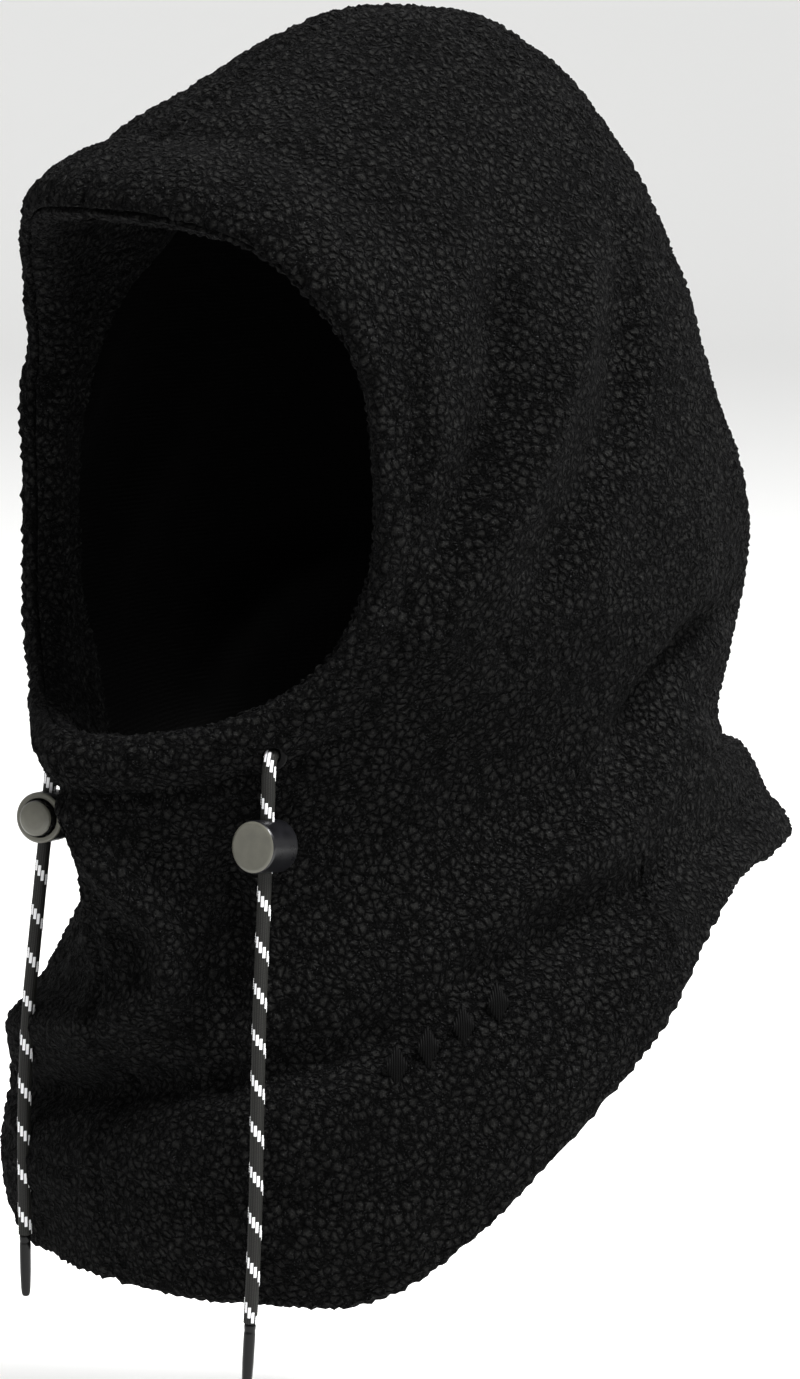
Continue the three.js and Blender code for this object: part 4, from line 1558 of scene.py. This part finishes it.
@dataclass
class BarrelLock:
    """A sprung barrel lock on a cord: a cup with a cross hole, and a button in its open end."""

    side: Side
    cord: Drawcord
    button_way: tuple
    below: float = 14.0
    radius: float = 7.5
    closed_end: float = -6.7
    open_end: float = 5.3
    floor: float = 1.0
    wall: float = 1.9
    proud: float = 3.2
    gap: float = 0.3
    stroke: float = 1.8
    end_tilt: float = 0.55
    wire: float = 0.25
    turns: int = 2
    pressed_share: float = 0.21

    def placing(self) -> Matrix:
        """The lock's place: X runs down the cord and Z is the way the button points."""
        _, top, along = self.cord.route()
        out = np.array(self.button_way, dtype=float)
        out -= along * (out @ along)
        out /= np.linalg.norm(out)
        across = np.cross(out, along)
        centre = (top + along * self.below) * MM
        turn = Matrix((along.tolist(), across.tolist(), out.tolist())).transposed().to_4x4()
        return Matrix.Translation(Vector(centre.tolist())) @ turn

    def bore(self, piece: bpy.types.Object, radius: float, slot: float) -> None:
        """Cuts the cord's cross hole, drawn out into a slot along Z.

        Args:
            piece: The piece to cut.
            radius: The hole's radius in millimetres.
            slot: How far the slot runs towards the button's outer end.
        """
        turns = np.linspace(0, math.pi, 17)
        ring = [(radius * math.cos(t), slot + radius * math.sin(t)) for t in turns]
        ring += [(-radius * math.cos(t), -radius * math.sin(t)) for t in turns]
        reach = 4 * self.radius
        points = [(-reach / 2, y, z) for y, z in ring] + [(reach / 2, y, z) for y, z in ring]
        count = len(ring)
        faces = [[k, (k + 1) % count, (k + 1) % count + count, k + count] for k in range(count)]
        faces += [list(range(count))[::-1], list(range(count, 2 * count))]
        cutter = make_mesh("bore_cutter", np.array(points), faces, [])
        fixer = bmesh.new()
        fixer.from_mesh(cutter.data)
        bmesh.ops.recalc_face_normals(fixer, faces=fixer.faces)
        fixer.to_mesh(cutter.data)
        fixer.free()
        cut = piece.modifiers.new("bore", "BOOLEAN")
        cut.operation, cut.object, cut.solver = "DIFFERENCE", cutter, "EXACT"
        graph = bpy.context.evaluated_depsgraph_get()
        result = bpy.data.meshes.new_from_object(piece.evaluated_get(graph))
        piece.modifiers.clear()
        piece.data = result
        bpy.data.objects.remove(cutter)

    def soften(self, piece: bpy.types.Object, width: float) -> None:
        """Rounds the piece's sharp edges a little, with smooth shading between them."""
        bevel = piece.modifiers.new("edge_break", "BEVEL")
        bevel.width, bevel.segments, bevel.limit_method = width * MM, 2, "ANGLE"
        bevel.angle_limit = math.radians(38)
        normal = piece.modifiers.new("weighted", "WEIGHTED_NORMAL")
        normal.keep_sharp = True

    def paint_end_reflection(self, piece: bpy.types.Object) -> None:
        """Gives the faces square to the barrel's axis the second material, their painted reflection."""
        for face in piece.data.polygons:
            face.material_index = int(abs(face.normal.z) > self.end_tilt)

    def build(self, body: bpy.types.Material, face: bpy.types.Material,
              steel: bpy.types.Material) -> list[bpy.types.Object]:
        """Makes the barrel, the button and the spring between them.

        Args:
            body: The moulded plastic.
            face: The ends' light green-grey, a painted reflection.
            steel: The spring's steel.

        Returns:
            The barrel, the button and the spring.
        """
        word = self.side.word
        bore = self.radius - self.wall
        floor = self.closed_end + self.floor
        barrel_outline = [
            (0.0, self.closed_end + 0.15), (self.radius - 1.6, self.closed_end + 0.05),
            (self.radius - 1.0, self.closed_end), (self.radius - 0.3, self.closed_end + 0.3),
            (self.radius, self.closed_end + 1.0), (self.radius, self.open_end - 0.5),
            (self.radius - 0.5, self.open_end), (bore + 0.2, self.open_end), (bore, self.open_end - 0.4),
            (bore, floor), (0.0, floor),
        ]
        barrel = lathe(f"cord_lock_barrel_{word}", barrel_outline, 72, [body, face])
        self.paint_end_reflection(barrel)
        self.bore(barrel, self.cord.radius + 0.6, 0.0)
        reach = bore - self.gap
        foot = -(self.cord.radius + self.gap + 0.8)
        crown = self.open_end + self.proud
        button_outline = [
            (0.0, foot), (reach, foot), (reach, crown - 1.6), (reach * 0.97, crown - 1.05),
            (reach * 0.86, crown - 0.55), (reach * 0.62, crown - 0.2), (reach * 0.3, crown - 0.04),
            (0.0, crown),
        ]
        button = lathe(f"cord_lock_button_{word}", button_outline, 72, [body, face])
        self.paint_end_reflection(button)
        self.bore(button, self.cord.radius + self.gap, self.stroke)
        place = self.placing()
        for piece, node, rider in (
            (barrel, f"lock_{word}_barrel", f"lock_{word}"),
            (button, f"lock_{word}_button", f"lock_{word}_button"),
        ):
            piece.data.transform(place)
            self.soften(piece, 0.12)
            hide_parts(node)
            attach(piece, rider)
            log.info("%s: %d faces", piece.name, len(piece.data.polygons))
        return [barrel, button, self.coil(steel, place)]

    def coil(self, steel: bpy.types.Material, place: Matrix) -> bpy.types.Object:
        """Winds the conical spring between the barrel's floor and the button.

        Args:
            steel: The spring's steel.
            place: The lock's place.

        Returns:
            The spring.
        """
        foot = self.closed_end + self.floor + self.gap + self.wire
        head = -(self.cord.radius + self.gap + 0.8) - self.gap - self.wire
        wide = self.radius - self.wall - 3 * self.gap
        narrow = (self.radius - self.wall) / 2
        steps, ring = self.turns * 48, 12
        round_wire = np.arange(ring) / ring * 2 * math.pi
        points, faces = [], []
        for i in range(steps + 1):
            share = i / steps
            turn = share * self.turns * 2 * math.pi
            out = np.array([math.cos(turn), math.sin(turn), 0.0])
            middle = out * (wide + (narrow - wide) * share) + (0, 0, foot + (head - foot) * share)
            for angle in round_wire:
                lift = np.array([0, 0, math.sin(angle)])
                points.append(middle + self.wire * (out * math.cos(angle) + lift))
        for i in range(steps):
            for j in range(ring):
                a, b = i * ring + j, i * ring + (j + 1) % ring
                faces.append([a, a + ring, b + ring, b])
        faces.append(list(range(ring)))
        faces.append([steps * ring + j for j in range(ring)][::-1])
        word = self.side.word
        spring = make_mesh(f"cord_lock_spring_{word}", np.array(points), faces, [steel])
        spring.data.transform(place)
        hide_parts(f"lock_{word}_spring")
        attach(spring, f"lock_{word}")
        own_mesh(spring)
        return spring


def paint(node: bpy.types.Object, material: bpy.types.Material) -> None:
    """Gives one of the model's own nodes a material."""
    if not node.material_slots:
        node.data.materials.append(material)
    for slot in node.material_slots:
        slot.material = material


# ---- Stitched motif -----------------------------------------------------------------------------


@dataclass
class StitchedMotif:
    """A row of small satin-stitched diamonds on the wearer's left shoulder, a plain decoration."""

    form: HoodForm
    places: tuple = ((45.5, -291.0), (49.5, -286.0), (54.0, -280.5), (58.5, -274.5))
    half_tall: float = 6.0
    half_wide: float = 3.6
    threads: int = 11
    radius: float = 0.42

    def build(self, thread: bpy.types.Material) -> bpy.types.Object:
        """Makes every stitch as one short arched thread.

        Args:
            thread: The thread's material.

        Returns:
            The motif as one piece.
        """
        points: list[np.ndarray] = []
        faces: list[list[int]] = []
        for degrees, height in self.places:
            centre = self.form.on(degrees, height)
            right = self.form.on(degrees + 2, height) - centre
            right /= np.linalg.norm(right)
            up = self.form.on(degrees, height + 2) - centre
            up -= right * (up @ right)
            up /= np.linalg.norm(up)
            out = np.cross(up, right)
            out = out if out @ centre > 0 else -out
            for k in range(self.threads):
                share = (k + 0.5) / self.threads * 2 - 1
                reach = self.half_tall * (1 - abs(share))
                if reach < 0.5:
                    continue
                base = centre + right * (share * self.half_wide)
                self.stitch(points, faces, base - up * reach, base + up * reach, out, right)
        motif = make_mesh("stitched_diamonds", np.array(points), faces, [thread])
        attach(motif, ROOT_BODY)
        log.info("%s: %d faces", motif.name, len(motif.data.polygons))
        return motif

    def stitch(self, points: list, faces: list, start: np.ndarray, end: np.ndarray,
               out: np.ndarray, right: np.ndarray) -> None:
        """Adds one thread that arches from start to end."""
        steps, ring = 8, 6
        first = len(points)
        for i in range(steps + 1):
            t = i / steps
            middle = start + (end - start) * t + out * (1.1 * math.sin(math.pi * t) - 0.9)
            for j in range(ring):
                turn = j / ring * 2 * math.pi
                points.append(middle + self.radius * (right * math.cos(turn) + out * math.sin(turn)))
        for i in range(steps):
            for j in range(ring):
                a, b = first + i * ring + j, first + i * ring + (j + 1) % ring
                faces.append([a, b, b + ring, a + ring])
        faces.append([first + j for j in range(ring)][::-1])
        faces.append([first + steps * ring + j for j in range(ring)])


# ---- Studio -------------------------------------------------------------------------------------


@dataclass(frozen=True)
class SoftLight:
    """One square soft light: where it stands, its side in metres and its power in watts."""

    name: str
    azimuth: float
    elevation: float
    distance: float
    size: float
    power: float


@dataclass
class Studio:
    """The camera, the soft lights and the plain floor."""

    azimuth: float = 45.0
    elevation: float = 9.0
    distance: float = 1.4
    target: tuple = (0.0, 0.0, -0.201)
    frame_height: float = 0.4178787878787879
    sensor: float = 36.0
    shift: float = -0.0007251631617113851
    sky: float = 0.7
    floor_height: float = -0.47
    floor_radius: float = 6000.0
    floor_rings: int = 24
    floor_sides: int = 96
    edge_rise: float = 900.0
    flat_share: float = 0.75
    lights: tuple = (
        SoftLight("key", 100, 62, 2.2, 0.6, 112),
        SoftLight("near_fill", 56, 22, 2.6, 0.8, 4),
        SoftLight("far_fill", -60, 30, 2.4, 1.2, 2),
        SoftLight("rim", 165, 50, 2.4, 1.2, 26),
    )

    def aim(self, thing: bpy.types.Object, place: Vector, target: Vector) -> None:
        """Puts a thing at a place, looking at a target."""
        thing.location = place
        thing.rotation_euler = (target - place).to_track_quat("-Z", "Y").to_euler()

    def direction(self, azimuth: float, elevation: float) -> Vector:
        """The way from the target at an azimuth and elevation in degrees."""
        a, e = math.radians(azimuth), math.radians(elevation)
        return Vector((math.sin(a) * math.cos(e), -math.cos(a) * math.cos(e), math.sin(e)))

    def camera(self) -> None:
        """Adds the camera and makes it the scene's."""
        data = bpy.data.cameras.new("camera")
        data.sensor_fit = "VERTICAL"
        data.sensor_height = self.sensor
        data.lens = self.sensor * self.distance / self.frame_height
        data.shift_x = self.shift
        data.clip_start = 0.05
        thing = bpy.data.objects.new("camera", data)
        bpy.context.scene.collection.objects.link(thing)
        target = Vector(self.target)
        self.aim(thing, target + self.direction(self.azimuth, self.elevation) * self.distance, target)
        bpy.context.scene.camera = thing

    def light(self, soft: SoftLight) -> None:
        """Adds one square soft light, aimed at the hood."""
        data = bpy.data.lights.new(soft.name, "AREA")
        data.shape, data.size, data.energy = "SQUARE", soft.size, soft.power
        thing = bpy.data.objects.new(soft.name, data)
        bpy.context.scene.collection.objects.link(thing)
        target = Vector(self.target)
        self.aim(thing, target + self.direction(soft.azimuth, soft.elevation) * soft.distance, target)

    def floor(self, finish: bpy.types.Material) -> None:
        """Adds the floor, a wide round sheet with a softly raised edge."""
        rings, sides, height = self.floor_rings, self.floor_sides, self.floor_height / MM
        points, faces = [(0.0, 0.0, height)], []
        for i in range(1, rings + 1):
            reach = self.floor_radius * i / rings
            rise = self.edge_rise * max(0.0, (i / rings - self.flat_share) / (1 - self.flat_share)) ** 2
            for j in range(sides):
                turn = j / sides * 2 * math.pi
                points.append((reach * math.cos(turn), reach * math.sin(turn), height + rise))
        for j in range(sides):
            faces.append([0, 1 + j, 1 + (j + 1) % sides])
        for i in range(rings - 1):
            for j in range(sides):
                a, b = 1 + i * sides + j, 1 + i * sides + (j + 1) % sides
                faces.append([a, a + sides, b + sides, b])
        make_mesh("studio_floor", np.array(points), faces, [finish])

    def build(self) -> None:
        """Adds the lights, the sky and the floor."""
        for soft in self.lights:
            self.light(soft)
        world = bpy.data.worlds.new("studio_sky")
        world.use_nodes = True
        world.node_tree.nodes.clear()
        sky = add_node(world.node_tree, "Background", Color=(1.0, 1.0, 1.0, 1.0), Strength=self.sky)
        add_node(world.node_tree, "OutputWorld", Surface=sky.outputs["Background"])
        bpy.context.scene.world = world
        bpy.context.scene.view_settings.view_transform = "Standard"
        self.floor(PaintedFloor().make())


# ---- Assembly -----------------------------------------------------------------------------------


def make_drawcords() -> dict[Side, Drawcord]:
    """The two free cord ends, whose routes are those of the model's own cord solids."""
    return {
        Side.LEFT: Drawcord(
            Side.LEFT,
            FORM,
            above=((1.9, 3.2, 4.5),),
            straight=((2, 3.5, 11), (5, 10, 69)),
            below=((6, 12, 97), (6.8, 13.7, 126), (6.8, 14.7, 144), (6.5, 15.7, 160)),
        ),
        Side.RIGHT: Drawcord(
            Side.RIGHT,
            FORM,
            above=((-3.5, 7, 4.5), (-10, 10.2, 8.5)),
            straight=((-15, 11.4, 13), (-12, 18, 77)),
            below=((-11.5, 19.6, 97), (-11.3, 20.4, 115), (-11.2, 20.6, 130), (-11.2, 20.6, 152)),
        ),
    }


def main() -> None:
    """Builds the studio, the cords and their locks, and the fleece hood."""
    logging.basicConfig(level=logging.INFO, format="%(name)s %(message)s")
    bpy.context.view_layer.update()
    studio = Studio()
    studio.camera()

    cord_finish = KnittedCord().make()
    # The tips' gloss gives one hard glint against the matt cloth.
    tip_finish = Moulded("moulded_gloss_tip", "#050505", "#0b0b0b", 0.2, specular=0.16).make()
    # The barrels' fine grain breaks their highlight into a satin streak.
    lock_finish = Moulded(
        "moulded_satin_abs", "#0a0a0c", "#131316", 0.3, grain_mm=0.25, grain=0.12, specular=0.35
    ).make()
    # The end faces are coloured light green-grey as a painted reflection, bright against the all-black
    # barrel.
    end_reflection_finish = Moulded("painted_end_reflection_grey", "#4b4a42", "#5a594f", 0.36, metallic=0.1).make()
    # Bare wire shows bright through the gap under each button.
    steel = Moulded("drawn_spring_steel", "#a5a7a9", "#8b8d8f", 0.28, metallic=1.0).make()
    # The enamel is nearly lost in the pile, and only its edge catches light.
    enamel = Moulded("black_enamelled_brass", "#030303", "#080808", 0.5, specular=0.12).make()

    buttons = {Side.LEFT: (-0.17, 0.98, 0.0), Side.RIGHT: (0.39, -0.92, 0.1)}
    for side, cord in make_drawcords().items():
        lock = BarrelLock(side, cord, buttons[side])
        pieces = lock.build(lock_finish, end_reflection_finish, steel)
        cord.build(cord_finish, tip_finish, pieces)
        paint(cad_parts[f"eyelet_{side.word}"], enamel)
        paint(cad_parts[f"eyelet_washer_{side.word}"], enamel)
    paint(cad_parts["drawcord_tunnel_run"], Thread("tunnel_cord_yarn", "#1b1b1a").make())

    fleece = CurlyFleece().make()
    back = KnitBack().make()
    for side in Side:
        FleeceHalf(side, FORM).build(fleece, back)
    StitchedMotif(FORM).build(Thread().make())
    studio.build()


if __name__ == "__main__":
    main()
